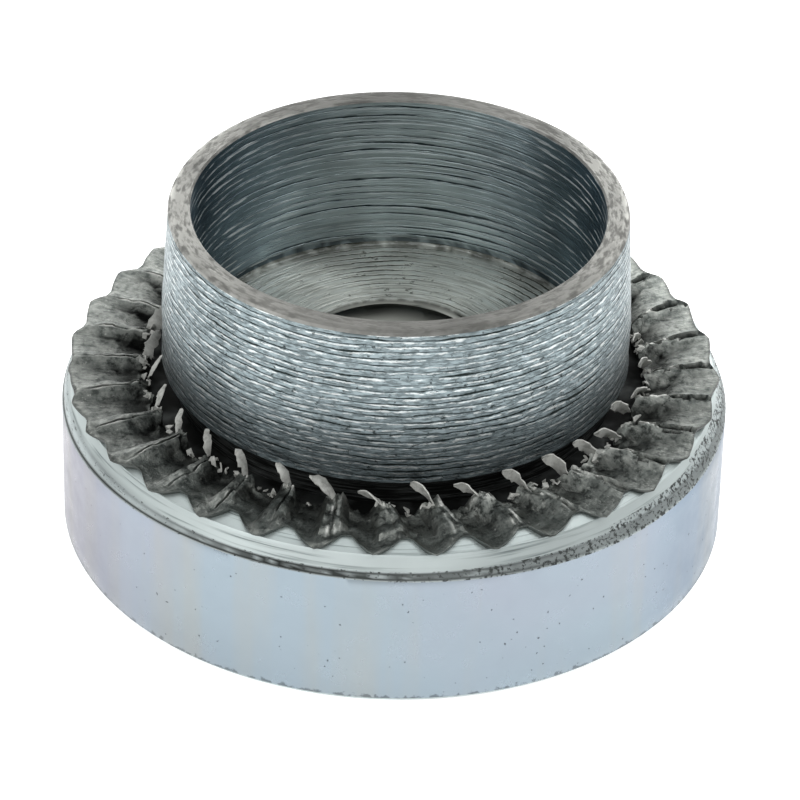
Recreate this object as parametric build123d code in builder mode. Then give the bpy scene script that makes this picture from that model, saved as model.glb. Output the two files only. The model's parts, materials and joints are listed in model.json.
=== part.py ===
"""Rivet bush: a round head with a serrated collar and a thin spigot that is riveted over.

One turned and knurled piece of steel. The frame stands on the middle of the head's flat
underside, with +Z along the axis towards the spigot. All sizes are in millimetres.
"""

import os

from build123d import *

# Head: the plain disc that stays outside the sheet.
head_diameter = 15.0
head_height = 3.39
head_top_chamfer = 0.14
head_foot_chamfer = 0.10

# Collar: the raised ring that bites into the sheet. Rises are measured from the head's top.
collar_foot_diameter = 14.72
collar_shoulder_diameter = 14.40
collar_shoulder_rise = 0.33
crest_outer_diameter = 13.40
crest_outer_rise = 0.48
collar_inner_diameter = 11.20
crest_inner_rise = 0.68

# Serrations: the knurl's teeth are barrels that lie across the collar, fuller in the middle.
serration_count = 34
first_serration_angle = -92.7
knurl_axis_rise = 1.06
knurl_inner_radius = 0.70
knurl_middle_radius = 0.80
knurl_outer_radius = 0.59
knurl_middle_diameter = 13.10

# Each knurl tooth pushes a pointed lip of steel out over the collar's shoulder.
lip_tip_diameter = 14.66
lip_root_diameter = 12.90
lip_side_diameter = 14.10
lip_side_share = 0.52
lip_rise = 0.48

# Relief groove between the collar and the spigot.
relief_diameter = 9.90
relief_rise = 0.10

# Spigot: straight at its root, where the sheet sits, then drawn in a little to its rim.
spigot_root_diameter = 10.50
spigot_root_rise = 0.85
spigot_straight_length = 1.20
spigot_rim_diameter = 10.20
overall_height = 8.0
rim_round = 0.10
rim_inner_chamfer = 0.04

# Inside: a plain counterbore that leaves the thin rivet wall, and the tapping hole below it.
bore_diameter = 9.20
bore_floor_height = 4.15
hole_diameter = 4.20
hole_top_chamfer = 0.08
hole_foot_chamfer = 0.35


def head_corners():
    """Half section of the head, from the hole's foot out and up to the collar's foot."""
    return [
        (hole_diameter / 2 + hole_foot_chamfer, 0),
        (head_diameter / 2 - head_foot_chamfer, 0),
        (head_diameter / 2, head_foot_chamfer),
        (head_diameter / 2, head_height - head_top_chamfer),
        (collar_foot_diameter / 2, head_height),
    ]


def collar_corners():
    """Half section of the collar's blank and of the relief groove behind it."""
    undercut = (spigot_root_diameter - relief_diameter) / 2
    return [
        (collar_shoulder_diameter / 2, head_height + collar_shoulder_rise),
        (crest_outer_diameter / 2, head_height + crest_outer_rise),
        (collar_inner_diameter / 2, head_height + crest_inner_rise),
        (collar_inner_diameter / 2, head_height + relief_rise),
        (relief_diameter / 2, head_height + relief_rise),
        (relief_diameter / 2, head_height + spigot_root_rise - undercut),
    ]


def spigot_corners():
    """Half section of the spigot's outside, its rim and its counterbore."""
    root_height = head_height + spigot_root_rise
    return [
        (spigot_root_diameter / 2, root_height),
        (spigot_root_diameter / 2, root_height + spigot_straight_length),
        (spigot_rim_diameter / 2, overall_height),
        (bore_diameter / 2, overall_height),
        (bore_diameter / 2, bore_floor_height),
    ]


def hole_corners():
    """Half section of the tapping hole, from the counterbore's floor down."""
    return [
        (hole_diameter / 2 + hole_top_chamfer, bore_floor_height),
        (hole_diameter / 2, bore_floor_height - hole_top_chamfer),
        (hole_diameter / 2, hole_foot_chamfer),
    ]


def lip_corners():
    """Root corner, side point and tip of half a lip in plan, for a lip that points along +X."""
    half_pitch = 180 / serration_count
    root = Vector(lip_root_diameter / 2, 0).rotate(Axis.Z, half_pitch)
    side = Vector(lip_side_diameter / 2, 0).rotate(Axis.Z, half_pitch * lip_side_share)
    tip = Vector(lip_tip_diameter / 2, 0)
    return root, side, tip


def knurl_belly(axis_height):
    """Inner, middle and outer points of a knurl tooth's lower outline."""
    return [
        (collar_inner_diameter / 2, axis_height - knurl_inner_radius),
        (knurl_middle_diameter / 2, axis_height - knurl_middle_radius),
        (lip_tip_diameter / 2, axis_height - knurl_outer_radius),
    ]


# The turned blank, before the collar is knurled.
with BuildPart() as blank:
    with BuildSketch(Plane.XZ):
        with BuildLine():
            corners = head_corners() + collar_corners() + spigot_corners() + hole_corners()
            Polyline(*corners, close=True)
        make_face()
    revolve(axis=Axis.Z)
    rim_edges = blank.edges().filter_by(GeomType.CIRCLE).group_by(Axis.Z)[-1]
    inner_edge, outer_edge = rim_edges.sort_by(SortBy.RADIUS)
    fillet(outer_edge, rim_round)
    chamfer(inner_edge, rim_inner_chamfer)

# The lip of steel that one knurl tooth pushes out.
with BuildPart() as lip:
    with BuildSketch(Plane.XY.offset(head_height)):
        with BuildLine():
            root, side, tip = lip_corners()
            edge = ThreePointArc(root, side, tip)
            mirror(edge, about=Plane.XZ)
            Line(root, (root.X, -root.Y))
        make_face()
    extrude(amount=lip_rise)

# One tooth of the knurl, turned about its own axis across the collar.
with BuildPart() as knurl_tooth:
    axis_height = head_height + knurl_axis_rise
    with BuildSketch(Plane.XZ):
        with BuildLine():
            inner, middle, outer = knurl_belly(axis_height)
            belly = ThreePointArc(inner, middle, outer)
            Polyline(belly @ 0, (inner[0], axis_height), (outer[0], axis_height), belly @ 1)
        make_face()
    revolve(axis=Axis((0, 0, axis_height), (1, 0, 0)))

# The finished bush: the blank with its lips, pressed all round by the knurl.
with BuildPart() as rivet_bush:
    add(blank.part)
    with PolarLocations(0, serration_count, start_angle=first_serration_angle):
        add(lip.part)
    with PolarLocations(0, serration_count, start_angle=first_serration_angle):
        add(knurl_tooth.part, mode=Mode.SUBTRACT)

os.makedirs("parts", exist_ok=True)
rivet_bush.part.label = "rivet_bush"
export_step(rivet_bush.part, "parts/rivet_bush.step")
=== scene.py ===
"""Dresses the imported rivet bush: turned, knurled and bright-zinc-plated steel, in one skin.

Sizes are in millimetres until a mesh is finished, and the finished mesh is in metres in the
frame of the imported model: the head stands on Z = 0 and the spigot points along +Z.
"""

import json
import logging
import math
from dataclasses import dataclass, field
from enum import Enum
from typing import Any, Mapping, Sequence

import bpy
import numpy as np
from mathutils import Matrix, Vector, noise
from mathutils.kdtree import KDTree


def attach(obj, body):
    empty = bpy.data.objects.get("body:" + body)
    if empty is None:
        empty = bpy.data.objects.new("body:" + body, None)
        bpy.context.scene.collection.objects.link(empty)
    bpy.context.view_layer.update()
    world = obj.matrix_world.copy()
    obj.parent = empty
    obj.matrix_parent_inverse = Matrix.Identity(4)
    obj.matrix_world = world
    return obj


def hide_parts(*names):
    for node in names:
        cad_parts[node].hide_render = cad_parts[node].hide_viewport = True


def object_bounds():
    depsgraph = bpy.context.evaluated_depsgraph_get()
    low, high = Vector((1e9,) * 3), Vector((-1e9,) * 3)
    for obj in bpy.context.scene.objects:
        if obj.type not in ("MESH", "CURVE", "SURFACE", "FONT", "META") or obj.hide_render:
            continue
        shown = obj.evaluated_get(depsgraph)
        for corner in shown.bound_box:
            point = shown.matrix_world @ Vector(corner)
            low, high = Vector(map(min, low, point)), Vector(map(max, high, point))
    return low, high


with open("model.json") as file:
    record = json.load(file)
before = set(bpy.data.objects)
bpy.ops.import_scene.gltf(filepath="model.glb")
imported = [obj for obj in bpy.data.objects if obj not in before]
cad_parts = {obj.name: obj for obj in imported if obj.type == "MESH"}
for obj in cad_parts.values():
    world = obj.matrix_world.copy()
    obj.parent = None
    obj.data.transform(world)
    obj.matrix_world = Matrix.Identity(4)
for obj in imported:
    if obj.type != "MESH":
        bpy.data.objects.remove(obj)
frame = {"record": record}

CAD_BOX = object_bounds()
LOG = logging.getLogger("rivet_bush")
MM = 0.001
NODE = "rivet_bush"
BODY = "root"
# Painted shade per vertex: darker deeper in cracks and hollows and under the lips, below 0 where a
# painted highlight goes. On the head's edge and in the counterbore's corner it also holds rust and swarf.
SHADE_AND_GRIME = "shade_and_grime"
ZONE = "zone"
Array = np.ndarray
Point = tuple[float, float]
Profile = tuple[Point, ...]


def mount_radius(name: str) -> float:
    """Reads a mount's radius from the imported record.

    Args:
        name: The mount's name.

    Returns:
        The radius in millimetres.
    """
    for mount in frame["record"]["mounts"]:
        if mount["name"] == name:
            return float(mount["dims"]["r_mm"])
    raise KeyError(name)


class Zone(Enum):
    """The stretches of the bush's surface, each with its own finish."""

    UNDERSIDE = 0
    HEAD_SIDE = 1
    HEAD_EDGE = 2
    COLLAR_WALL = 3
    LIP_EDGE = 4
    SERRATION = 5
    RELIEF = 6
    SPIGOT = 7
    RIM = 8
    BORE = 9
    FLOOR = 10
    THREAD = 11


# --------------------------------------------------------------------------- modelling helpers


def deselect_all() -> None:
    """Leaves object mode with nothing selected."""
    if bpy.context.object and bpy.context.object.mode != "OBJECT":
        bpy.ops.object.mode_set(mode="OBJECT")
    bpy.ops.object.select_all(action="DESELECT")


def make_active(thing: bpy.types.Object) -> None:
    """Selects one object alone and makes it the active one."""
    deselect_all()
    thing.select_set(True)
    bpy.context.view_layer.objects.active = thing


def read_points(mesh: bpy.types.Mesh) -> Array:
    """Returns a mesh's vertices as rows of x, y and z."""
    flat = np.empty(len(mesh.vertices) * 3)
    mesh.vertices.foreach_get("co", flat)
    return flat.reshape(-1, 3)


def write_points(mesh: bpy.types.Mesh, points: Array) -> None:
    """Moves a mesh's vertices to the rows of x, y and z given."""
    mesh.vertices.foreach_set("co", points.reshape(-1))
    mesh.update()


def write_shade_and_grime(mesh: bpy.types.Mesh, values: Array) -> None:
    """Stores the painted shade, with rust and swarf, of each vertex, darker deeper in a crack, for the
    finishes to read.
    """
    layer = mesh.attributes.get(SHADE_AND_GRIME) or mesh.attributes.new(SHADE_AND_GRIME, "FLOAT", "POINT")
    layer.data.foreach_set("value", values.astype(np.float32))


def grain(points: Array, size: float, seed: float, octaves: int = 3) -> Array:
    """Smooth random values from -1 to 1 at each point.

    Args:
        points: Rows of x, y and z in millimetres.
        size: Width of the largest blotches in millimetres.
        seed: Moves the pattern elsewhere.
        octaves: Number of finer layers added.

    Returns:
        One value for each point.
    """
    shift = Vector((seed * 17.3, seed * -9.1, seed * 5.7))
    return np.array(
        [
            noise.fractal(Vector(p) / size + shift, 1.0, 2.0, octaves, noise_basis="PERLIN_ORIGINAL")
            for p in points
        ]
    )


@dataclass(frozen=True)
class Run:
    """A straight or curved stretch of the half section, drawn from the last run's end.

    Args:
        zone: The surface this stretch belongs to.
        end: Radius and height where it ends.
        rows: Number of rows of faces along it.
    """

    zone: Zone
    end: Point
    rows: int


@dataclass
class Lathe:
    """Draws a half section row by row and spins it into a skin.

    Args:
        name: Name of the skin.
        start: Radius and height of the first point.
        runs: The stretches of the section, in order.
        columns: Number of columns of faces round the axis.
        start_angle: Angle of the first column in degrees.
    """

    name: str
    start: Point
    runs: Sequence[Run]
    columns: int
    start_angle: float = 0.0

    def stations(self) -> list[tuple[float, float, Zone, float]]:
        """Returns radius, height, zone and share of the run for every row of vertices."""
        found = [(*self.start, self.runs[0].zone, 0.0)]
        here = self.start
        for run in self.runs:
            for row in range(1, run.rows + 1):
                share = row / run.rows
                radius = here[0] + (run.end[0] - here[0]) * share
                height = here[1] + (run.end[1] - here[1]) * share
                found.append((radius, height, run.zone, share))
            here = run.end
        return found

    def spin(self) -> bpy.types.Object:
        """Draws the half section by extruding one vertex, and spins it round the axis."""
        rows = self.stations()
        turn = math.radians(self.start_angle)
        across = Vector((math.cos(turn), math.sin(turn), 0.0))
        spots = [across * radius + Vector((0.0, 0.0, height)) for radius, height, _, _ in rows]
        deselect_all()
        bpy.ops.mesh.primitive_plane_add(size=0.1, location=spots[0])
        skin = bpy.context.object
        skin.name = skin.data.name = self.name
        bpy.ops.object.transform_apply(location=True, rotation=True, scale=True)
        bpy.ops.object.mode_set(mode="EDIT")
        bpy.ops.mesh.select_all(action="SELECT")
        bpy.ops.mesh.merge(type="CENTER")
        for last, spot in zip(spots, spots[1:]):
            bpy.ops.mesh.extrude_region_move(TRANSFORM_OT_translate={"value": spot - last})
        bpy.ops.mesh.select_all(action="SELECT")
        bpy.ops.mesh.spin(steps=self.columns, angle=math.tau, center=(0, 0, 0), axis=(0, 0, 1))
        bpy.ops.mesh.select_all(action="SELECT")
        bpy.ops.mesh.remove_doubles(threshold=1e-4)
        bpy.ops.object.mode_set(mode="OBJECT")
        return skin

    def paint(self, skin: bpy.types.Object, row: Array) -> None:
        """Gives every face the number of its zone.

        Args:
            skin: The spun skin.
            row: The row's number of each vertex.
        """
        zones = np.array([zone.value for _, _, zone, _ in self.stations()])
        starts = np.empty(len(skin.data.polygons), dtype=int)
        corners = np.empty(len(skin.data.loops), dtype=int)
        skin.data.polygons.foreach_get("loop_start", starts)
        skin.data.loops.foreach_get("vertex_index", corners)
        highest = np.maximum.reduceat(row[corners], starts)
        layer = skin.data.attributes.new(ZONE, "INT", "FACE")
        layer.data.foreach_set("value", zones[highest].astype(np.int32))

    def place(self, points: Array) -> tuple[Array, Array]:
        """Finds the row and the angle of every vertex of the spun skin.

        Args:
            points: The skin's vertices, as spun.

        Returns:
            The row's number and the angle in radians of each vertex.
        """
        rows = np.array([(radius, height) for radius, height, _, _ in self.stations()])
        radii = np.hypot(points[:, 0], points[:, 1])
        gaps = (radii[:, None] - rows[:, 0]) ** 2 + (points[:, 2, None] - rows[:, 1]) ** 2
        return gaps.argmin(axis=1), np.arctan2(points[:, 1], points[:, 0])


def from_polar(radius: Array, angle: Array, height: Array) -> Array:
    """Returns rows of x, y and z for polar values."""
    return np.stack([radius * np.cos(angle), radius * np.sin(angle), height], axis=1)


def ramp(value: Array, start: Array | float, end: Array | float) -> Array:
    """Rises from 0 at the start to 1 at the end, which may lie below the start."""
    return np.clip((value - start) / (end - start), 0.0, 1.0)


def eased(share: Array) -> Array:
    """Flattens a rise from 0 to 1 at both ends."""
    return share * share * (3.0 - 2.0 * share)


def blend_curve(share: Array, knots: Profile) -> Array:
    """Smooth curve through a few knots of share and value, flat at each knot."""
    value = np.full_like(share, knots[0][1])
    for (a, low), (b, high) in zip(knots, knots[1:]):
        value = value + (high - low) * eased(ramp(share, a, b))
    return value


# --------------------------------------------------------------------------- the skins


@dataclass(frozen=True)
class Drag:
    """How the knurl left its presses at one place round the collar.

    Offsets are shares of the pitch from the nearest press's middle, towards the left-hand
    side seen from the axis.

    Args:
        angle: The place in degrees, where -90 faces front.
        crest_in: Offset of a crest's inner end.
        crest_out: Offset of its outer end.
        notch: Offset of the notch between two lips.
        tip: Share of the way from notch to notch at which the lip's point stands.
        notch_radius: Radius of the notch.
        tip_radius: Radius of the lip's point.
        fin: Offset of the root of the crest's sliver.
    """

    angle: float
    crest_in: float
    crest_out: float
    notch: float
    tip: float
    notch_radius: float
    tip_radius: float
    fin: float


@dataclass
class Serrations:
    """The knurled collar: presses with a pointed outer lip and a seamed crest between them.

    Args:
        count: Number of presses round the collar.
        first_angle: Angle of one press's middle in degrees.
        foot: Radius and height where the collar rises from the head.
        shoulder: Radius and height of the blank's outer edge.
        notch: Radius and height of the blank's surface where the deepest notch lies.
        inner_radius: Radius of the collar's inner wall.
        drags: How the knurl left its presses, round the collar.
        per_press: Number of columns of faces in a press.
        land_rows: Rows of faces on the wall and the land.
        wall_corner_row: The row at the blank's outer edge.
        lip_rows: Rows up the lip's edge.
        press_rows: Rows across a press.
        wall_rows: Rows down the collar's inner wall.
        seed: Starts the random differences between presses.
        dish: Height of a press's floor in front, from the lip (0) to the inner wall (1).
        scale: The same behind, where the presses are nearly level.
        hump: Height of the crests in front.
        crack_side: Height beside the cracks behind.
        fold_height: Height of the deepest fold that the knurl smeared.
        crack_depth: Depth of the crack along a crest.
        columns_at: Where a press's columns stand across it.
    """

    count: int = 34
    first_angle: float = -92.7
    foot: Point = (7.36, 3.39)
    shoulder: Point = (7.20, 3.72)
    notch: Point = (6.72, 3.87)
    inner_radius: float = 5.60
    drags: tuple[Drag, ...] = (
        Drag(-180.0, -0.17, -0.19, 0.87, 0.25, 7.28, 7.41, -0.42),
        Drag(-165.0, -0.12, -0.15, 0.85, 0.28, 7.28, 7.41, -0.40),
        Drag(-150.0, 0.04, 0.08, 0.38, 0.52, 7.17, 7.38, -0.18),
        Drag(-120.0, 0.10, 0.15, 0.47, 0.57, 6.86, 7.35, 0.06),
        Drag(-105.0, 0.12, 0.20, 0.49, 0.54, 6.84, 7.35, 0.12),
        Drag(-90.0, 0.12, 0.40, 0.53, 0.46, 6.82, 7.35, 0.12),
        Drag(-60.0, 0.18, 0.60, 0.58, 0.33, 6.92, 7.38, 0.18),
        Drag(-35.0, 0.30, 0.80, 0.80, 0.22, 7.05, 7.38, 0.12),
        Drag(-10.0, 0.48, 0.93, 0.97, 0.50, 7.17, 7.28, -0.05),
        Drag(20.0, 0.50, 1.00, 1.17, 0.75, 7.08, 7.28, -0.07),
        Drag(150.0, -0.17, -0.19, 0.75, 0.25, 7.04, 7.38, -0.30),
        Drag(180.0, -0.17, -0.19, 0.87, 0.25, 7.28, 7.41, -0.42),
    )
    per_press: int = 16
    land_rows: int = 8
    wall_corner_row: int = 3
    lip_rows: int = 3
    press_rows: int = 24
    wall_rows: int = 6
    seed: int = 7
    dish: Profile = ((0.0, 3.835), (0.35, 3.71), (0.75, 3.63), (1.0, 3.70))
    scale: Profile = ((0.0, 3.845), (0.50, 3.83), (0.80, 3.72), (1.0, 3.66))
    hump: Profile = ((0.0, 3.91), (0.5, 3.98), (1.0, 4.02))
    crack_side: Profile = ((0.0, 3.87), (0.5, 3.90), (1.0, 3.90))
    fold_height: float = 0.085
    crack_depth: float = 0.17
    columns_at: tuple[float, ...] = (
        -1.0, -0.95, -0.89, -0.80, -0.66, -0.50, -0.33, -0.16,
        0.0, 0.16, 0.33, 0.50, 0.66, 0.80, 0.89, 0.95,
    )

    @property
    def pitch(self) -> float:
        """Angle from press to press in radians."""
        return math.tau / self.count

    @property
    def lip_row(self) -> int:
        """Number of the row along the lips' upper edge."""
        return self.land_rows + self.lip_rows

    @property
    def inner_row(self) -> int:
        """Number of the presses' innermost row."""
        return self.lip_row + self.press_rows

    @property
    def last_row(self) -> int:
        """Number of the collar's last row, at the foot of its inner wall."""
        return self.inner_row + self.wall_rows

    def runs(self, floor_height: float) -> list[Run]:
        """The collar's plain rows, which OuterSkin then presses."""
        r_in = self.inner_radius
        return [
            Run(Zone.COLLAR_WALL, self.notch, self.land_rows),
            Run(Zone.LIP_EDGE, (self.notch[0] - 0.06, self.notch[1] + 0.05), self.lip_rows),
            Run(Zone.SERRATION, (r_in, 4.05), self.press_rows),
            Run(Zone.SERRATION, (r_in, floor_height), self.wall_rows),
        ]

    def at(self, what: str, angle: Array) -> Array:
        """Reads one value of the drags at each angle in radians."""
        places = [drag.angle for drag in self.drags]
        values = [getattr(drag, what) for drag in self.drags]
        around = np.mod(np.degrees(angle) + 180.0, 360.0) - 180.0
        return np.interp(around, places, values)

    def blank_height(self, radius: Array) -> Array:
        """Height of the turned blank at a radius outside the crest's outer end."""
        xs = [self.notch[0], self.shoulder[0], self.foot[0]]
        ys = [self.notch[1], self.shoulder[1], self.foot[1]]
        return np.interp(radius, xs, ys)

    def crest_angle(self, number: Array, outer: Array) -> Array:
        """Angle in radians of a crest, from its inner end (0) to its outer end (1)."""
        middle = math.radians(self.first_angle) + number * self.pitch
        low, high = self.at("crest_in", middle), self.at("crest_out", middle)
        return middle + self.pitch * (low + (high - low) * (1.0 - (1.0 - outer) ** 2))

    def fin_angle(self, number: Array) -> Array:
        """Angle in radians at which the sliver of a crest is rooted."""
        middle = math.radians(self.first_angle) + number * self.pitch
        return middle + self.pitch * self.at("fin", middle)

    def warp(self, angle: Array, weight: Array, outer: Array) -> tuple[Array, Array, Array]:
        """Crowds the columns towards the crests and leans them the crests' way.

        Args:
            angle: Angles of evenly spaced columns in radians.
            weight: How far each vertex takes part, from 0 to 1.
            outer: How near each vertex is to the crests' outer ends, from 0 to 1.

        Returns:
            The new angle, the place in the press from -1 to 1, and the press's number.
        """
        start = math.radians(self.first_angle)
        turns = np.mod(angle - start + 1e-6, math.tau) / self.pitch
        press = np.floor(turns).astype(int) % self.count
        step = (turns - np.floor(turns)) * self.per_press
        knots = np.array([*self.columns_at, 1.0])
        place = np.interp(step, np.arange(self.per_press + 1), knots)
        low, high = self.crest_angle(press, outer), self.crest_angle(press + 1, outer)
        new = low + (high - low) * (place + 1) / 2
        return angle_mix(angle, new, weight), place, press

    def outline(self, angle: Array, reach: Array) -> Array:
        """Radius of the lips' edge in plan.

        Args:
            angle: Angles in radians.
            reach: How much further out than usual each lip's point lies.

        Returns:
            The radius at each angle.
        """
        steps = (angle - math.radians(self.first_angle)) / self.pitch - self.at("notch", angle)
        share, tip = steps - np.floor(steps), self.at("tip", angle)
        rise = np.where(share < tip, share / tip, (1.0 - share) / (1.0 - tip))
        rise = np.clip(rise / 0.80 - 0.20, 0.0, 1.0)
        low, high = self.at("notch_radius", angle), self.at("tip_radius", angle)
        return low + (high + reach - low) * rise * (1.25 - 0.25 * rise)

    def nearness(self, angle: Array, middle: float, span: float) -> Array:
        """How near each angle in radians is to a middle in degrees, from 0 to 1."""
        gap = np.mod(angle - math.radians(middle) + math.pi, math.tau) - math.pi
        return np.exp(-((gap / math.radians(span)) ** 2))

    def folds(self, spots: Array, angle: Array) -> Array:
        """Folds and dents that the knurl smeared outwards along the teeth, about zero.

        Args:
            spots: Points in millimetres.
            angle: Their angle in radians.

        Returns:
            The height at each point.
        """
        radius = np.hypot(spots[:, 0], spots[:, 1])
        along = np.column_stack((np.cos(angle) * 6.3, np.sin(angle) * 6.3, radius * 0.42))
        fold = 1.0 - 2.2 * np.abs(grain(along, 0.26, 31.0))
        dent = grain(spots, 0.34, 37.0) + 0.5 * grain(spots, 0.13, 41.0)
        return self.fold_height * (0.55 * fold - 0.4 + 0.7 * dent)


def angle_mix(old: Array, new: Array, weight: Array) -> Array:
    """Moves angles part of the way from old to new, the short way round."""
    gap = np.mod(new - old + math.pi, math.tau) - math.pi
    return old + gap * weight


@dataclass
class Knurling:
    """What the knurl does to the collar's rows: land, lips, presses and the inner wall.

    Args:
        teeth: The serrations.
        groove_floor: Height of the relief groove's floor.
        radius: Distance of each vertex from the axis.
        angle: Its angle in radians.
        height: Its height.
        row: The number of its row.
        place: Its place across its press, from -1 to 1.
        press: The number of its press.
    """

    teeth: Serrations
    groove_floor: float
    radius: Array
    angle: Array
    height: Array
    row: Array
    place: Array
    press: Array

    def __post_init__(self) -> None:
        """Works out where each vertex lies on its press, and how deep the knurl went there."""
        teeth, place, press = self.teeth, self.place, self.press
        draw = np.random.default_rng(teeth.seed)
        reach = draw.normal(0.0, 0.035, teeth.count)[press]
        self.sink = draw.normal(0.0, 0.020, teeth.count)[press]
        rise = draw.normal(0.0, 0.022, teeth.count)
        self.crest_rise = rise[np.where(place > 0, (press + 1) % teeth.count, press)]
        self.side = np.abs(place)
        self.inward = ramp(self.row, teeth.lip_row, teeth.inner_row)
        tips = np.ones_like(place)
        low, high = teeth.crest_angle(press, tips), teeth.crest_angle(press + 1, tips)
        across = low + (high - low) * (place + 1) / 2
        self.edge = teeth.outline(across, reach * (1 - self.side))
        self.lip_foot = np.minimum(self.edge - 0.05, teeth.shoulder[0] - 0.03)
        self.rough = grain(from_polar(self.radius, self.angle, self.height), 0.55, 3.0)
        # The knurl went in deepest in front, where dirt also covers the crests. On the right
        # the metal parted widest.
        self.front = teeth.nearness(self.angle, -90.0, 72.0)
        self.blunt = teeth.nearness(self.angle, -84.0, 36.0)
        self.right = np.clip(np.cos(self.angle) * 1.3, 0.0, 1.0)
        # The lip's edge is level at the point and rises a little to the notch.
        self.lip_top = 3.825 + 0.085 * ramp(self.edge, 7.36, 6.86) + 0.030 * self.rough

    def put(self, where: Array, radius: Array, height: Array) -> None:
        """Moves the vertices picked to the radius and the height given."""
        self.radius[where] = radius[where]
        self.height[where] = height[where]

    def shape_land(self) -> None:
        """Leads the wall up to the blank's edge, and the land to the lips' feet."""
        teeth, row = self.teeth, self.row
        corner, last = teeth.wall_corner_row, teeth.land_rows
        foot, shoulder = teeth.foot[0], teeth.shoulder[0]
        up_wall = foot + (shoulder - foot) * row / corner
        over_land = shoulder + (self.lip_foot - shoulder) * (row - corner) / (last - corner)
        along = np.where(row <= corner, up_wall, over_land)
        self.put(row <= last, along, teeth.blank_height(along))

    def shape_lips(self) -> Array:
        """Rolls the lips' edge up and outwards, and returns how shaded it is."""
        teeth = self.teeth
        up = (self.row - teeth.land_rows) / teeth.lip_rows
        low = teeth.blank_height(self.lip_foot)
        radius = self.lip_foot + (self.edge - self.lip_foot) * np.sin(up * math.pi / 2 * 1.25)
        on_lip = (self.row > teeth.land_rows) & (self.row <= teeth.lip_row)
        self.put(on_lip, radius, low + (self.lip_top - low) * up)
        return np.where(on_lip, 1.0 - up, 0.0)

    def shape_presses(self) -> Array:
        """Shapes the presses and the collar's inner wall.

        In front they are dishes with broad humps between them, and behind they are nearly
        level scales with a crack between them.

        Returns:
            Painted shade at each vertex, darker deeper in a crack or hollow; below 0 for a painted
            highlight.
        """
        teeth, s, side, row = self.teeth, self.inward, self.side, self.row
        front, blunt, right = self.front, self.blunt, self.right
        press_radius = self.edge + (teeth.inner_radius - self.edge) * s
        spots = from_polar(press_radius, self.angle, np.full_like(s, 3.9))
        ragged, flakes = ramp(s, 0.76, 1.0), grain(spots, 0.26, 5.0)
        jag = 0.16 * grain(spots, 0.2, 17.0)

        floor, crest = blend_curve(s, teeth.scale), blend_curve(s, teeth.crack_side)
        floor = floor + (blend_curve(s, teeth.dish) - floor) * front
        floor = floor + self.sink * np.sin(s * math.pi)
        crest = crest + (blend_curve(s, teeth.hump) - crest) * front + self.crest_rise
        lean = np.clip(side + 0.10 * np.sign(self.place) * np.sin(side * math.pi), 0.0, 1.0)
        foot = 0.34 + 0.20 * (1.0 - front)
        hump = eased(ramp(lean, foot, foot + 0.40))
        smooth = 0.35 + 0.35 * front + 0.30 * blunt
        smooth = smooth * (1.0 - 0.6 * right * ramp(s, 0.6, 0.4))
        folds = teeth.folds(spots, self.angle) * ramp(s, 0.0, 0.12) * (0.30 + 0.70 * hump) * smooth
        surface = floor + (crest - floor) * hump + 0.03 * self.rough + folds

        # Torn lips stand up beside each crack. On the right the metal parted wider near the
        # lip, and behind it sank in front of each crack.
        start = 0.12 - 0.11 * right
        torn = ramp(s, start, start + 0.2 - 0.15 * right) * ramp(s, 1.02, 0.92)
        broken = np.clip(0.85 + 1.6 * grain(spots, 0.5, 13.0), 0.25, 1.0)
        broken = np.maximum(broken, 0.9 * right) * (1.0 - 0.95 * blunt)
        gap = 0.985 - 0.15 * right * ramp(s, 0.60, 0.35) + 0.10 * right * grain(spots, 0.25, 47.0)
        crack = np.where(side > gap, 1.0, 0.0) * torn * broken
        ahead = (self.place * np.sign(np.cos(self.angle)) - 0.55) / 0.30
        sunk = (1.0 - front**2) * np.exp(-(ahead**2) - ((s - 0.62) / 0.34) ** 2)
        sunk = sunk * np.clip(0.7 + 2.4 * grain(spots, 0.35, 19.0), 0.0, 1.0)
        lips = 0.040 * ramp(side, 0.86, 0.93) * torn * broken
        height = surface + lips - teeth.crack_depth * crack - 0.07 * sunk + 0.16 * flakes * ragged
        on_press = (row > teeth.lip_row) & (row <= teeth.inner_row)
        height = np.where(s == 0, self.lip_top, height)
        self.put(on_press, press_radius + jag * ragged, height)

        down = ramp(row, teeth.inner_row, teeth.last_row)
        top = surface + 0.16 * flakes
        wall_radius = teeth.inner_radius + jag * (1.0 - down) + 0.10 * flakes * np.sin(down * math.pi)
        on_wall = (row > teeth.inner_row) & (row <= teeth.last_row)
        self.put(on_wall, wall_radius, top + (self.groove_floor - top) * down)

        # Painted shade darkens the cracks, each press's hollow inner part, the sunk places and, away from
        # the front, the inner half. Torn edges and ragged flakes get painted highlights below 0.
        depth = crack + 0.4 * (1.0 - hump) * ramp(s, 0.2, 0.8) + 0.6 * sunk
        flank = 1.0 - teeth.nearness(self.angle, -70.0, 72.0) ** 2
        depth = depth + 0.5 * flank * ramp(s, 0.45, 0.85)
        rubbed_highlight = (side > 0.90) & (right > 0.5) | (side > 0.93) & (side < 0.985)
        beside = np.where(rubbed_highlight, np.where(self.place < 0, 0.9, 0.4), 0.0)
        depth = depth - beside * torn * np.sqrt(broken) * (1.0 - blunt)
        depth = depth - np.clip(3.0 * (flakes - 0.18), 0.0, 0.9) * ragged
        # In front a few scratches run along the dirty crests.
        scratch = np.clip(0.25 + 3.0 * grain(spots, 0.4, 67.0), 0.0, 1.0) * torn
        scratch = np.where(np.abs(side - 0.89) < 0.01, scratch, 0.0)
        depth = depth + (0.25 * hump * np.clip(1.2 - s, 0.0, 1.0) - 1.3 * scratch) * blunt
        depth = np.where(on_press, depth, 0.0)
        # Down the inner wall the painted shade deepens towards the groove.
        return np.where(on_wall, 0.45 + 0.5 * down, depth)

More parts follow.
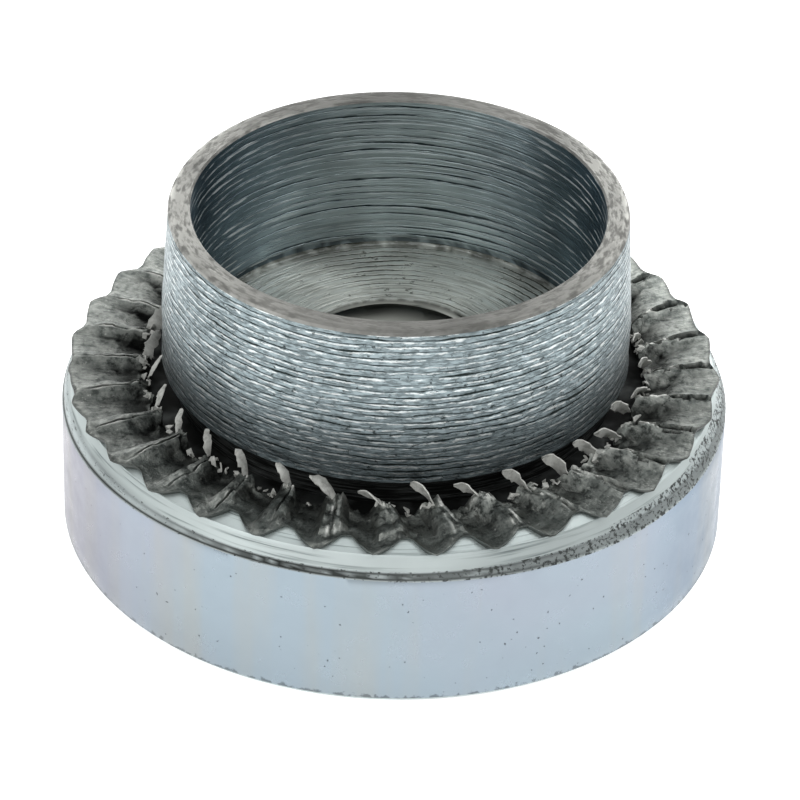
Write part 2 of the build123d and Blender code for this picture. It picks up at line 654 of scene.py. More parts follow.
    def press_collar(self) -> Array:
        """Shapes the whole collar and returns the painted shade of each vertex, darker deeper in a crack.
        """
        self.shape_land()
        shade = self.shape_lips()
        depth = self.shape_presses() + shade
        # Along the lips' top edge the colour is painted dark as painted shade, least in front.
        return np.where(self.row == self.teeth.lip_row, 0.6 * (1.0 - self.front**2), depth)


@dataclass
class OuterSkin:
    """Collar, relief groove, spigot and rim as one spun skin.

    Args:
        top: Height of the rim.
        bore_radius: Radius of the counterbore.
        root_radius: Radius of the spigot's root.
        serrations: The knurled collar.
        relief_radius: Radius of the relief groove's wall.
        relief_floor: Height of its floor.
        root_height: Height of the spigot's root.
        straight_length: Length of the spigot before it starts to draw in.
        rim_radius: Radius of the rim's outer edge.
        rim_round: Height over which the rim's outer edge is rounded.
        inner_edge: Width and height of the rim's inner edge.
        spigot_rows: Rows of faces up the spigot.
        torn_from: Distance to the right at which the wall's foot starts to be torn.
        torn_rise: How fast the torn foot rises from there.
    """

    top: float
    bore_radius: float
    root_radius: float
    serrations: Serrations = field(default_factory=Serrations)
    relief_radius: float = 4.95
    relief_floor: float = 3.49
    root_height: float = 4.24
    straight_length: float = 1.20
    rim_radius: float = 5.10
    rim_round: float = 0.10
    inner_edge: float = 0.04
    spigot_rows: int = 40
    torn_from: float = 3.8
    torn_rise: float = 0.06

    def lathe(self) -> Lathe:
        """The plain rows of the skin, from the collar's foot to the rim's inner edge."""
        teeth = self.serrations
        undercut = self.root_radius - self.relief_radius
        straight_top = self.root_height + self.straight_length
        straight_rows = round(self.spigot_rows * self.straight_length / (self.top - self.root_height))
        round_start = self.top - self.rim_round
        runs = teeth.runs(self.relief_floor) + [
            Run(Zone.RELIEF, (self.relief_radius, self.relief_floor), 2),
            Run(Zone.RELIEF, (self.relief_radius, self.root_height - undercut), 3),
            Run(Zone.RELIEF, (self.root_radius, self.root_height), 2),
            Run(Zone.SPIGOT, (self.root_radius, straight_top), straight_rows),
            Run(Zone.SPIGOT, (self.rim_radius, round_start), self.spigot_rows - straight_rows),
            Run(Zone.RIM, (self.rim_radius - 0.03, self.top - 0.03), 1),
            Run(Zone.RIM, (self.rim_radius - 0.10, self.top), 1),
            Run(Zone.RIM, (self.bore_radius + self.inner_edge, self.top), 4),
            Run(Zone.RIM, (self.bore_radius, self.top - self.inner_edge), 1),
        ]
        columns = teeth.count * teeth.per_press
        return Lathe("collar_and_spigot", teeth.foot, runs, columns, teeth.first_angle)

    def build(self) -> bpy.types.Object:
        """Spins the skin and presses, tears and scores it."""
        lathe = self.lathe()
        skin = lathe.spin()
        points = read_points(skin.data)
        row, angle = lathe.place(points)
        zones = np.array([zone.value for _, _, zone, _ in lathe.stations()])[row]
        teeth = self.serrations
        fade = np.clip(1.0 - (row - teeth.last_row) / 5.0, 0.0, 1.0)
        outer = 1.0 - ramp(row, teeth.lip_row, teeth.inner_row)
        angle, place, press = teeth.warp(angle, fade, outer)
        radius = np.hypot(points[:, 0], points[:, 1])
        height = points[:, 2].copy()
        knurling = Knurling(teeth, self.relief_floor, radius, angle, height, row, place, press)
        shade_and_grime = knurling.press_collar()
        self.tear_spigot(radius, angle, height, zones)
        under_rim = (zones == Zone.SPIGOT.value) & (height > self.top - 0.15)
        spots = from_polar(radius, angle, height)
        shade_and_grime[under_rim] = np.clip(0.5 + 3.0 * grain(spots, 0.8, 43.0), 0.0, 1.0)[under_rim]
        write_points(skin.data, spots)
        write_shade_and_grime(skin.data, shade_and_grime)
        lathe.paint(skin, row)
        self.tear_foot(skin)
        return skin

    def tear_foot(self, skin: bpy.types.Object) -> None:
        """Lets the head's torn edge reach a little up the collar's wall on the right."""
        faces = skin.data.polygons
        centres, zones = np.empty(len(faces) * 3), np.empty(len(faces), dtype=np.int32)
        faces.foreach_get("center", centres)
        x, _, z = centres.reshape(-1, 3).T
        layer = skin.data.attributes[ZONE].data
        layer.foreach_get("value", zones)
        beyond = x - self.torn_from
        torn = (beyond > 0.0) & (z < self.serrations.foot[1] + self.torn_rise * beyond)
        zones[torn & (zones == Zone.COLLAR_WALL.value)] = Zone.HEAD_EDGE.value
        layer.foreach_set("value", zones)

    def tear_spigot(self, radius: Array, angle: Array, height: Array, zones: Array) -> None:
        """Makes the spigot's outside as uneven as a worn tool leaves it, most at its foot.

        Args:
            radius: Radius of each vertex, which is changed.
            angle: Its angle in radians.
            height: Its height.
            zones: The number of its zone.
        """
        on_spigot = zones == Zone.SPIGOT.value
        spots = from_polar(radius, angle, height)[on_spigot]
        z = height[on_spigot]
        tear = grain(spots * (1.0, 1.0, 4.0), 0.9, 11.0)
        ends = ramp(z, self.root_height, self.root_height + 0.1)
        ends = ends * ramp(z, self.top - 0.12, self.top - 0.22)
        radius[on_spigot] -= ends * 0.020 * (0.5 + tear) * (0.5 + ramp(z, 5.6, 4.3))


@dataclass
class Skins:
    """The head, the collar with the spigot, the counterbore and the hole, joined as one skin.

    Args:
        outer: The collar with the spigot.
        head_radius: Radius of the head.
        hole_radius: Radius of the tapping hole.
        bore_floor: Height of the counterbore's floor.
        joint_gap: Width of the ring of faces that joins one skin to the next.
        head_columns: Columns of faces round the head.
        bore_columns: Columns of faces round the counterbore.
        hole_columns: Columns of faces round the hole.
        thread_pitch: Distance between the thread's turns.
        thread_depth: Depth of the thread.
        foot_chamfer: Width of the chamfer at the hole's lower end.
        mouth: Width of the chamfer at its upper end.
    """

    outer: OuterSkin
    head_radius: float
    hole_radius: float
    bore_floor: float = 4.15
    joint_gap: float = 0.03
    head_columns: int = 272
    bore_columns: int = 272
    hole_columns: int = 136
    thread_pitch: float = 0.8
    thread_depth: float = 0.36
    foot_chamfer: float = 0.35
    mouth: float = 0.10

    def head(self) -> bpy.types.Object:
        """The head from the hole's foot to the collar's foot."""
        radius = self.head_radius
        collar_radius, collar_height = self.outer.serrations.foot
        chamfer = radius - collar_radius
        gap = self.joint_gap
        runs = [
            Run(Zone.UNDERSIDE, (radius - 0.11, 0.0), 4),
            Run(Zone.COLLAR_WALL, (radius - 0.01, 0.11), 2),
            Run(Zone.HEAD_SIDE, (radius, 0.13), 1),
            Run(Zone.HEAD_SIDE, (radius, collar_height - chamfer), 8),
            Run(Zone.HEAD_EDGE, (collar_radius + gap, collar_height - gap), 4),
        ]
        start = (self.hole_radius + self.foot_chamfer + gap, 0.0)
        return self.finished(Lathe("head", start, runs, self.head_columns))

    def bore(self) -> bpy.types.Object:
        """The counterbore's wall and floor."""
        radius = self.outer.bore_radius
        runs = [
            Run(Zone.BORE, (radius, self.bore_floor + 0.08), 38),
            Run(Zone.FLOOR, (radius - 0.03, self.bore_floor + 0.02), 1),
            Run(Zone.FLOOR, (radius - 0.09, self.bore_floor), 1),
            Run(Zone.FLOOR, (self.hole_radius + self.mouth, self.bore_floor), 14),
        ]
        start = (radius, self.outer.top - self.outer.inner_edge - self.joint_gap)
        return self.finished(Lathe("counterbore", start, runs, self.bore_columns))

    def hole(self) -> bpy.types.Object:
        """The hole with its thread, cut deeper than the tapping size."""
        radius = self.hole_radius
        runs = [
            Run(Zone.THREAD, (radius, self.bore_floor - self.mouth), 2),
            Run(Zone.THREAD, (radius, self.foot_chamfer), 52),
            Run(Zone.THREAD, (radius + self.foot_chamfer, 0.0), 3),
        ]
        start = (radius + self.mouth - self.joint_gap, self.bore_floor - self.joint_gap)
        lathe = Lathe("threaded_hole", start, runs, self.hole_columns)
        skin = self.finished(lathe)
        points = read_points(skin.data)
        row, angle = lathe.place(points)
        r, z = np.hypot(points[:, 0], points[:, 1]), points[:, 2]
        phase = np.mod(z / self.thread_pitch - angle / math.tau, 1.0)
        groove = np.clip(1.25 - np.abs(phase - 0.5) * 3.2, 0.0, 1.0)
        last = len(lathe.stations()) - 1
        ends = np.clip(np.minimum(row, last - row) / 3.0, 0.0, 1.0)
        r = np.maximum(r, self.hole_radius + self.thread_depth * groove * ends)
        write_points(skin.data, from_polar(r, angle, z))
        # The thread's grooves and the hole's two ends are painted darker, as painted shade.
        write_shade_and_grime(skin.data, groove * ends + 0.8 * (1.0 - ends))
        return skin

    def finished(self, lathe: Lathe) -> bpy.types.Object:
        """Spins a plain skin, gives its faces their zones and wears its edges and corners.

        Args:
            lathe: The skin's half section.

        Returns:
            The skin.
        """
        skin = lathe.spin()
        points = read_points(skin.data)
        row, _ = lathe.place(points)
        lathe.paint(skin, row)
        stations = lathe.stations()
        on_edge, on_side = (
            np.array([zone is wanted for _, _, zone, _ in stations])[row]
            for wanted in (Zone.HEAD_EDGE, Zone.HEAD_SIDE)
        )
        share = np.array([s for _, _, _, s in stations])[row]
        # The edge is a thin dark line on the left, doubled in front and torn away on the right.
        x = points[:, 0]
        right, left = ramp(x, -3.0, 5.0), ramp(x, 0.0, -7.5)
        upper = (share == 1.0) * ramp(x, -6.5, -3.0) * (0.95 - 0.5 * right**2)
        lines = (share == 0.25) * (1.0 - 0.5 * right**2) + upper
        rust = ramp(x, -5.5, -2.5) * (1.0 - right**2)
        rust = rust * np.clip(1.0 + 1.6 * grain(points, 0.22, 59.0), 0.0, 1.0)
        lines = np.maximum(lines, rust * (share > 0.25))
        # Swarf and dirt sit in the counterbore's corner and round the mouth of the hole.
        corners = [zone in (Zone.BORE, Zone.FLOOR) and s > 0.95 for _, _, zone, s in stations]
        dirty = np.clip(0.8 + 2.0 * grain(points, 0.35, 53.0), 0.4, 1.0) * np.array(corners)[row]
        write_shade_and_grime(skin.data, np.maximum(lines, 0.5 * right) * on_edge + dirty)
        fall = np.where(on_side, ramp(points[:, 2], 2.6, 3.25), on_edge * (1.0 - share))
        points[:, 2] -= (0.16 * right**2 + 0.22 * left**4) * fall
        write_points(skin.data, points)
        return skin

    def bridge(self, skin: bpy.types.Object, first: Point, second: Point, zone: Zone) -> None:
        """Closes the gap between two rings with faces.

        Args:
            skin: The joined skins.
            first: Radius and height of one ring.
            second: Radius and height of the other.
            zone: The zone that the new faces belong to.
        """
        points = read_points(skin.data)
        radii = np.hypot(points[:, 0], points[:, 1])
        picked = np.zeros(len(points), dtype=bool)
        for ring in (first, second):
            picked |= (np.abs(radii - ring[0]) < 2e-3) & (np.abs(points[:, 2] - ring[1]) < 2e-3)
        skin.data.polygons.foreach_set("select", np.zeros(len(skin.data.polygons), dtype=bool))
        skin.data.edges.foreach_set("select", np.zeros(len(skin.data.edges), dtype=bool))
        skin.data.vertices.foreach_set("select", picked)
        bpy.ops.object.mode_set(mode="EDIT")
        bpy.ops.mesh.bridge_edge_loops()
        bpy.ops.object.mode_set(mode="OBJECT")
        chosen = np.empty(len(skin.data.polygons), dtype=bool)
        numbers = np.empty(len(skin.data.polygons), dtype=np.int32)
        skin.data.polygons.foreach_get("select", chosen)
        layer = skin.data.attributes[ZONE].data
        layer.foreach_get("value", numbers)
        numbers[chosen] = zone.value
        layer.foreach_set("value", numbers)

    def build(self) -> bpy.types.Object:
        """Joins the skins, bridges them ring to ring and returns the closed skin."""
        bpy.context.tool_settings.mesh_select_mode = (True, False, False)
        parts = [self.head(), self.outer.build(), self.bore(), self.hole()]
        deselect_all()
        for part in parts:
            part.select_set(True)
        skin = parts[0]
        bpy.context.view_layer.objects.active = skin
        bpy.ops.object.join()
        gap, top, radius = self.joint_gap, self.outer.top, self.outer.bore_radius
        foot, hole, floor = self.outer.serrations.foot, self.hole_radius, self.bore_floor
        self.bridge(skin, (foot[0] + gap, foot[1] - gap), foot, Zone.HEAD_EDGE)
        edge, mouth, wide = top - self.outer.inner_edge, hole + self.mouth, hole + self.foot_chamfer
        self.bridge(skin, (radius, edge), (radius, edge - gap), Zone.BORE)
        self.bridge(skin, (mouth, floor), (mouth - gap, floor - gap), Zone.THREAD)
        self.bridge(skin, (wide, 0.0), (wide + gap, 0.0), Zone.UNDERSIDE)
        bpy.ops.object.mode_set(mode="EDIT")
        bpy.ops.mesh.select_all(action="SELECT")
        bpy.ops.mesh.remove_doubles(threshold=1e-4)
        bpy.ops.mesh.normals_make_consistent(inside=False)
        bpy.ops.object.mode_set(mode="OBJECT")
        skin.name = skin.data.name = "bush_skin"
        return skin


class Skin:
    """The bush's skin as a place to seat burrs on."""

    def __init__(self, mesh: bpy.types.Mesh) -> None:
        """Sorts the skin's vertices for the search."""
        self.vertices = mesh.vertices
        self.tree = KDTree(len(self.vertices))
        for vertex in self.vertices:
            self.tree.insert(vertex.co, vertex.index)
        self.tree.balance()

    def nearest(self, point: Vector) -> tuple[Vector, Vector]:
        """Returns the way to a point from the nearest vertex, and that vertex's normal."""
        spot, number, _ = self.tree.find(point)
        return point - spot, self.vertices[number].normal


@dataclass
class Burrs:
    """The thin curled slivers that the knurl pushes off each crest, towards the spigot.

    Args:
        serrations: The knurled collar that carries them.
        run: How far a sliver reaches round the axis, in millimetres.
        inward: How far it reaches towards the axis.
        rise: How far it rises.
        widths: Its width at its root, at even steps and at its tip.
        thickness: Its thickness.
        base: Place of its root beside the X axis.
        bends: How it lies at some angles: the angle, how far its inner edge hangs below its
            outer edge at the root and how much further its tip is turned, all in degrees,
            then by how much inward, run and rise are drawn out.
        flakes: Number of small torn flakes along the collar's inner edge.
    """

    serrations: Serrations
    run: float = 0.58
    inward: float = 0.28
    rise: float = 0.40
    widths: tuple[float, ...] = (0.26, 0.30, 0.33, 0.33, 0.32, 0.31, 0.29, 0.25, 0.17, 0.04)
    thickness: float = 0.03
    base: tuple[float, float, float] = (5.62, 0.0, 3.86)
    bends: tuple[tuple[float, ...], ...] = (
        (-180.0, -45.0, 0.0, 1.25, 0.42, 0.85),
        (-150.0, -38.0, 0.0, 0.90, 0.45, 1.05),
        (-125.0, -18.0, 0.0, 0.55, 0.55, 1.20),
        (-102.0, -4.0, -6.0, 0.55, 0.95, 1.20),
        (-93.0, 32.0, 42.0, 0.60, 1.00, 1.10),
        (-60.0, 34.0, 44.0, 0.80, 1.00, 1.00),
        (0.0, 34.0, 46.0, 1.00, 1.00, 1.00),
        (180.0, 34.0, 15.0, 1.00, 1.00, 1.00),
    )
    flakes: int = 150

    def sliver(self) -> bpy.types.Object:
        """Models a flat strip of squares beside the X axis, three vertices wide."""
        deselect_all()
        bpy.ops.mesh.primitive_plane_add(size=0.1, location=(0.0, 0.0, 0.0))
        sliver = bpy.context.object
        bpy.ops.object.mode_set(mode="EDIT")
        bpy.ops.mesh.select_all(action="SELECT")
        bpy.ops.mesh.merge(type="CENTER")
        for _ in range(2):
            bpy.ops.mesh.extrude_region_move(TRANSFORM_OT_translate={"value": (1.0, 0.0, 0.0)})
        bpy.ops.mesh.select_all(action="SELECT")
        for _ in self.widths[1:]:
            bpy.ops.mesh.extrude_region_move(TRANSFORM_OT_translate={"value": (0.0, -1.0, 0.0)})
        bpy.ops.object.mode_set(mode="OBJECT")
        return sliver

    def shape(self, squares: Array, bend: Sequence[float], ragged: Array) -> Array:
        """Curls a flat strip clockwise and inwards, as the knurl rolled it off the crest.

        Args:
            squares: The strip's points, one millimetre apart.
            bend: How the strip lies, as in bends but without the angle.
            ragged: How much wider or narrower the strip is at each point, as a share.

        Returns:
            The curled strip's points beside the X axis.
        """
        steps = len(self.widths) - 1
        tilt, curl, inward, run, rise = bend
        share = -squares[:, 1] / steps
        slope = np.radians(tilt + curl * eased(ramp(share, 0.2, 0.7)))
        width = np.interp(share, np.linspace(0.0, 1.0, steps + 1), self.widths) * (1.0 + ragged)
        # A blade that stands up is pinched at its root more than one that curls over.
        width *= 1.0 - (0.55 if curl <= 0.0 else 0.15) * (1.0 - share) ** 2
        across = np.column_stack((np.cos(slope), slope * 0.0, np.sin(slope)))
        bulge = 0.035 * (1.0 - (squares[:, 0] - 1.0) ** 2)
        lift = self.rise * rise * (1.0 - (1.0 - share) ** 1.8) + bulge
        round_axis = -self.run * run * (0.75 * share + 0.25 * share**2)
        path = np.column_stack((-self.inward * inward * share, round_axis, lift))
        return path + self.base + across * ((squares[:, 0] - 1.0) / 2 * width)[:, None]

    def flake(self) -> bpy.types.Object:
        """Models one torn flake at the origin, a crumpled scrap with uneven sides."""
        deselect_all()
        bpy.ops.mesh.primitive_circle_add(vertices=7, radius=0.09, fill_type="TRIFAN")
        flake = bpy.context.object
        points = read_points(flake.data)
        points *= 1.0 + 0.9 * grain(points, 0.09, 61.0)[:, None]
        points[:, 2] += 0.05 * np.sin(points[:, 0] * 25.0) + 0.04 * np.cos(points[:, 1] * 31.0)
        write_points(flake.data, points)
        return flake

    def seat(self, skin: Skin, points: Array) -> Array:
        """Moves a burr that stands off the skin until its nearest point is just inside.

        Args:
            skin: The bush's skin, in millimetres.
            points: The burr's points.

        Returns:
            The burr's points, moved if none of them was inside the skin.
        """
        nearest, shortest = Vector(), math.inf
        for point in map(Vector, points):
            away, normal = skin.nearest(point)
            if away.dot(normal) <= 0.0:
                return points
            if away.length < shortest:
                nearest, shortest = away, away.length
        return points - np.array(nearest) * (1.0 + self.thickness / shortest)

    def copy(
        self, pattern: bpy.types.Object, skin: Skin, local: Array, angle: float
    ) -> bpy.types.Object:
        """Copies a pattern, gives the copy new points and turns it round the axis.

        Args:
            pattern: The modelled piece.
            skin: The skin that the copy grows from.
            local: The copy's points beside the X axis.
            angle: Where it goes round the axis, in degrees.

        Returns:
            The copy, which has its own mesh.
        """
        deselect_all()
        pattern.select_set(True)
        bpy.context.view_layer.objects.active = pattern
        bpy.ops.object.duplicate(linked=False)
        turn = np.array(Matrix.Rotation(math.radians(angle), 3, "Z"))
        write_points(bpy.context.object.data, self.seat(skin, local @ turn.T))
        return bpy.context.object

    def build(self, skin: Skin) -> bpy.types.Object:
        """Copies the sliver to every crest and flakes to the torn edge, and joins them.

        Args:
            skin: The bush's skin, in millimetres.

        Returns:
            The burrs as one object.
        """
        sliver, flake = self.sliver(), self.flake()
        draw = np.random.default_rng(23)
        copies = []
        spot = np.array(self.base)
        squares, scrap = read_points(sliver.data), read_points(flake.data)
        angles, *bends = np.array(self.bends).T
        for number in range(self.serrations.count):
            crest = math.degrees(float(self.serrations.fin_angle(np.array(number))))
            crest = (crest + 180.0) % 360.0 - 180.0
            ragged = draw.normal(0, 0.16, len(squares))
            shape = self.shape(squares, [np.interp(crest, angles, bend) for bend in bends], ragged)
            size = draw.uniform(0.80, 1.15, 3)
            nod = np.array(Matrix.Rotation(math.radians(draw.normal(0, 8)), 3, "X"))
            copies.append(self.copy(sliver, skin, (shape - spot) * size @ nod.T + spot, crest))
        for number in range(self.flakes):
            axis = Vector(draw.normal(0, 1, 3)).normalized()
            tumble = np.array(Matrix.Rotation(draw.uniform(0, 3.0), 3, axis))
            place = (draw.uniform(5.54, 5.74), 0.0, draw.uniform(3.74, 3.96))
            local = (scrap * draw.uniform(0.4, 1.15)) @ tumble.T + place
            copies.append(self.copy(flake, skin, local, draw.uniform(0.0, 360.0)))
        deselect_all()
        for copy in copies:
            copy.select_set(True)
        bpy.context.view_layer.objects.active = copies[0]
        bpy.ops.object.join()
        burrs = copies[0]
        for pattern in (sliver, flake):
            bpy.data.objects.remove(pattern)
        solid = burrs.modifiers.new("thickness", "SOLIDIFY")
        solid.thickness, solid.offset = self.thickness, 0.0
        make_active(burrs)
        bpy.ops.object.modifier_apply(modifier=solid.name)
        burrs.name = burrs.data.name = "knurl_burrs"
        bpy.ops.object.mode_set(mode="EDIT")
        bpy.ops.mesh.select_all(action="SELECT")
        bpy.ops.mesh.normals_make_consistent(inside=False)
        bpy.ops.object.mode_set(mode="OBJECT")
        bpy.ops.object.shade_smooth_by_angle(angle=math.radians(50))
        return burrs


# --------------------------------------------------------------------------- the finishes


def paint(code: str) -> tuple[float, float, float, float]:
    """Turns an sRGB hex colour into linear light.

    Args:
        code: Six hex digits after a hash.

    Returns:
        Red, green, blue and an alpha of one.
    """
    shares = [int(code[i : i + 2], 16) / 255 for i in (1, 3, 5)]
    linear = [s / 12.92 if s <= 0.04045 else ((s + 0.055) / 1.055) ** 2.4 for s in shares]
    return (*linear, 1.0)


def add(
    tree: bpy.types.NodeTree,
    kind: str,
    inputs: Mapping[Any, Any] | None = None,
    **settings: Any,
) -> bpy.types.Node:
    """Adds a shader node with its settings and links.

    Inputs 1 to 4 of a map range are its two ranges, and inputs 0, 6 and 7 of a colour mix are
    its share and its two colours.

    Args:
        tree: The material's tree.
        kind: The node's type, without the prefix that all have.
        inputs: A value, a node or a socket for each input, by name or number. A node stands
            for its first output in use.
        **settings: The node's own properties.

    Returns:
        The new node.
    """
    node = tree.nodes.new("ShaderNode" + kind)
    for name, value in settings.items():
        setattr(node, name, value)
    for key, value in (inputs or {}).items():
        if isinstance(value, bpy.types.Node):
            value = next(output for output in value.outputs if output.enabled)
        if isinstance(value, bpy.types.NodeSocket):
            tree.links.new(value, node.inputs[key])
        else:
            node.inputs[key].default_value = value
    return node


def new_material(name: str) -> tuple[bpy.types.Material, bpy.types.NodeTree, bpy.types.Node]:
    """Makes an empty node material.

    Args:
        name: The material's name.

    Returns:
        The material, its tree and its output node.
    """
    material = bpy.data.materials.new(name)
    material.use_nodes = True
    tree = material.node_tree
    tree.nodes.clear()
    return material, tree, add(tree, "OutputMaterial")


def in_millimetres(tree: bpy.types.NodeTree) -> bpy.types.Node:
    """The point on the piece, in millimetres, so that a pattern's scale counts per millimetre."""
    place = add(tree, "TexCoord").outputs["Object"]
    return add(tree, "VectorMath", {0: place, 1: (1 / MM, 1 / MM, 1 / MM)}, operation="MULTIPLY")


class Lay(Enum):
    """Which way a tool travelled while it cut round the axis."""

    ALONG_AXIS = "along the axis"
    ACROSS_FACE = "across a face"


@dataclass(frozen=True)
class TurnedSteel:
    """Free-cutting steel as the lathe tool left it, under thin bright zinc.

    The tool leaves fine rings round the axis, here and there torn into short strokes, which
    hold a little dirt and scatter the light across the rings. The real feed marks lie about
    0.02 mm apart, too fine to show, so they are drawn two to six times as far apart.

    Args:
        name: The material's name.
        bright: Colour of the clean metal.
        dull: Colour down in the tool lines.
        lay: Which way the tool travelled.
        feed: Distance between tool lines in millimetres.
        stroke: Length over which a line changes, in millimetres.
        share: Share of the surface that the dull lines take.
        depth: Depth of the lines in millimetres.
        roughness: Roughness of the clean metal.
        shade_and_grime_strength: How strongly the modelled grooves are darkened by their painted shade,
            rust and swarf.
        cloud: How strongly the tone wanders from place to place.
        pits: How much of the surface is pitted.
        pit_scale: Number of pits in a millimetre, about.
        torn: Places along X between which the pits grow denser.
        pitch: Distance between deep tool lines in millimetres, or 0 for none.
        run: How long a deep line stays the same, in millimetres, about.
        ridge: How brightly the ridges between the deep lines are worn and lit, as a painted highlight,
            from 0 to 1.
        rubbed_highlight: Colour of a ridge worn bright, lightened further as a painted highlight.
        weak: How strongly the fine lines show between deep ones.
        foot: Heights between which the colour is painted darker lower down, as painted shade.
        foot_shade: How bright it is at the lower height.
        side_light_colour: Colour of the metal far to either side of the axis, if it differs, painted for
            the light and shade there.
        grain: How much more the light scatters across the tool lines than along them.
    """

    name: str
    bright: str
    dull: str
    lay: Lay
    feed: float
    stroke: float = 3.0
    share: float = 0.4
    depth: float = 0.010
    roughness: float = 0.34
    shade_and_grime_strength: float = 0.0
    cloud: float = 0.25
    pits: float = 0.0
    pit_scale: float = 4.5
    torn: Point = (0.0, 0.0)
    pitch: float = 0.0
    run: float = 1.0
    ridge: float = 0.0
    rubbed_highlight: str = "#EEF3F2"
    weak: float = 0.45
    foot: Point = (0.0, 0.0)
    foot_shade: float = 0.4
    side_light_colour: str = ""
    grain: float = 0.6

    def make(self) -> bpy.types.Material:
        """Builds the material."""
        material, tree, output = new_material(self.name)
        spot = in_millimetres(tree)
        parts = add(tree, "SeparateXYZ", {0: spot}).outputs
        travel: Any = parts["Z"]
        if self.lay is Lay.ACROSS_FACE:
            flat = add(tree, "VectorMath", {0: spot, 1: (1, 1, 0)}, operation="MULTIPLY")
            travel = add(tree, "VectorMath", {0: flat}, operation="LENGTH")
        lines, ridges, bare = self.fine_lines(tree, spot, travel), 0.0, 1.0
        if self.pitch > 0.0:
            lines, ridges = self.deep_lines(tree, spot, travel, lines)
        # Painted light: far to either side the light comes in flat along the axis, so there the lines are
        # painted fainter and the ridges' painted highlights stronger.
        aside = add(tree, "Math", {0: parts["X"], 1: parts["X"]}, operation="MULTIPLY")
        flank = add(tree, "MapRange", {0: aside, 1: 1.0, 2: 20.0})
        if self.side_light_colour and self.pitch > 0.0:
            calm = add(tree, "MapRange", {0: flank, 3: 1.0, 4: 0.3})
            lines = add(tree, "Math", {0: lines, 1: calm}, operation="MULTIPLY")
            flash = add(tree, "MapRange", {0: flank, 3: 0.25, 4: 1.0})
            ridges = add(tree, "Math", {0: ridges, 1: flash}, operation="MULTIPLY")
            # Rubbed ridges are scuffed there, so they scatter the light every way.
            bare = add(tree, "MapRange", {0: ridges, 3: 1.0, 4: 0.25})
        dirt_and_shade = self.dirt_and_shade(tree, spot, parts["X"], lines)
        dull = paint(self.dull)
        metal = add(tree, "Mix", {0: dirt_and_shade, 6: paint(self.bright), 7: dull}, data_type="RGBA")
        # Far to either side the metal takes its own painted colour for the light and shade there: lighter
        # on the rim, darker and bluer in the bore.
        if self.side_light_colour:
            far = add(tree, "Mix", {0: dirt_and_shade, 6: paint(self.side_light_colour), 7: dull}, data_type="RGBA")
            metal = add(tree, "Mix", {0: flank, 6: metal, 7: far}, data_type="RGBA")
        # The ridges are painted lighter: worn bright, and a painted highlight.
        if self.ridge > 0.0:
            rubbed_highlight = paint(self.rubbed_highlight)
            metal = add(tree, "Mix", {0: ridges, 6: metal, 7: rubbed_highlight}, data_type="RGBA")
        tone = self.tone(tree, spot, parts["Z"])
        shaded = add(tree, "VectorMath", {0: metal, "Scale": tone}, operation="SCALE")
        dirty_roughness = min(self.roughness + 0.22, 0.9)
        rough = add(tree, "MapRange", {0: dirt_and_shade, 3: self.roughness, 4: dirty_roughness})
        relief = {"Height": dirt_and_shade, "Distance": self.depth * MM, "Strength": 1.0}
        # Tool rings scatter the light across themselves, so the grain lies round the axis.
        shader = add(
            tree,
            "BsdfPrincipled",
            {
                "Base Color": shaded,
                "Metallic": bare,
                "Roughness": rough,
                "Anisotropic": self.grain,
                "Anisotropic Rotation": 0.25,
                "Normal": add(tree, "Bump", relief, invert=True),
                "Tangent": add(tree, "Tangent", direction_type="RADIAL", axis="Z"),
            },
        )
        tree.links.new(shader.outputs[0], output.inputs["Surface"])
        return material

    def fine_lines(self, tree: bpy.types.NodeTree, spot: bpy.types.Node, travel: Any) -> bpy.types.Node:
        """Adds the fine tool lines, each an unsteady ring.

        Args:
            tree: The material's tree.
            spot: The point in millimetres.
            travel: Distance along the tool's path.

        Returns:
            The node that gives the lines, from 0 to 1.
        """
        slow = add(tree, "VectorMath", {0: spot, "Scale": 1 / self.stroke}, operation="SCALE")
        step = add(tree, "Math", {0: travel, 1: 1 / self.feed}, operation="MULTIPLY")
        ring = {"Vector": slow, "W": step, "Scale": 1.0, "Detail": 2.5, "Roughness": 0.62}
        rings = add(tree, "TexNoise", ring, noise_dimensions="4D")
        edge = 0.5 + (self.share - 0.5) * 0.5
        cut = {0: rings, 1: edge - 0.12, 2: edge + 0.12, 3: 1.0, 4: 0.0}
        return add(tree, "MapRange", cut, interpolation_type="SMOOTHSTEP")

    def deep_lines(
        self, tree: bpy.types.NodeTree, spot: bpy.types.Node, travel: Any, fine: bpy.types.Node
    ) -> tuple[bpy.types.Node, bpy.types.Node]:
        """Adds the deeper, regular tool lines, which waver and break off.

        Args:
            tree: The material's tree.
            spot: The point in millimetres.
            travel: Distance along the tool's path.
            fine: The fine lines, which show through more weakly.

        Returns:
            The node that gives all lines together, and the one that gives the worn ridges'
            painted highlights beside them, each from 0 to 1.
        """
        squash = (1.0 / self.run, 1.0 / self.run, 3.0)
        tall = add(tree, "VectorMath", {0: spot, 1: squash}, operation="MULTIPLY")
        slow = {"Vector": tall, "Scale": 0.9, "Detail": 5.0, "Roughness": 0.65}
        waver = add(tree, "TexNoise", slow)
        turns = add(tree, "Math", {0: travel, 1: 1 / self.pitch}, operation="MULTIPLY")
        turns = add(tree, "Math", {0: waver, 1: 1.4, 2: turns}, operation="MULTIPLY_ADD")
        wave = add(tree, "Math", {0: turns, 1: 0.5}, operation="PINGPONG")
        torn = add(tree, "TexNoise", {**slow, "Scale": 1.0})
        width = add(tree, "MapRange", {0: torn, 1: 0.36, 2: 0.66, 3: 0.0, 4: 0.17})
        line = add(tree, "Math", {0: width, 1: wave}, operation="SUBTRACT")
        line = add(tree, "MapRange", {0: line, 1: -0.03, 2: 0.07})
        weak = add(tree, "Math", {0: fine, 1: self.weak}, operation="MULTIPLY")
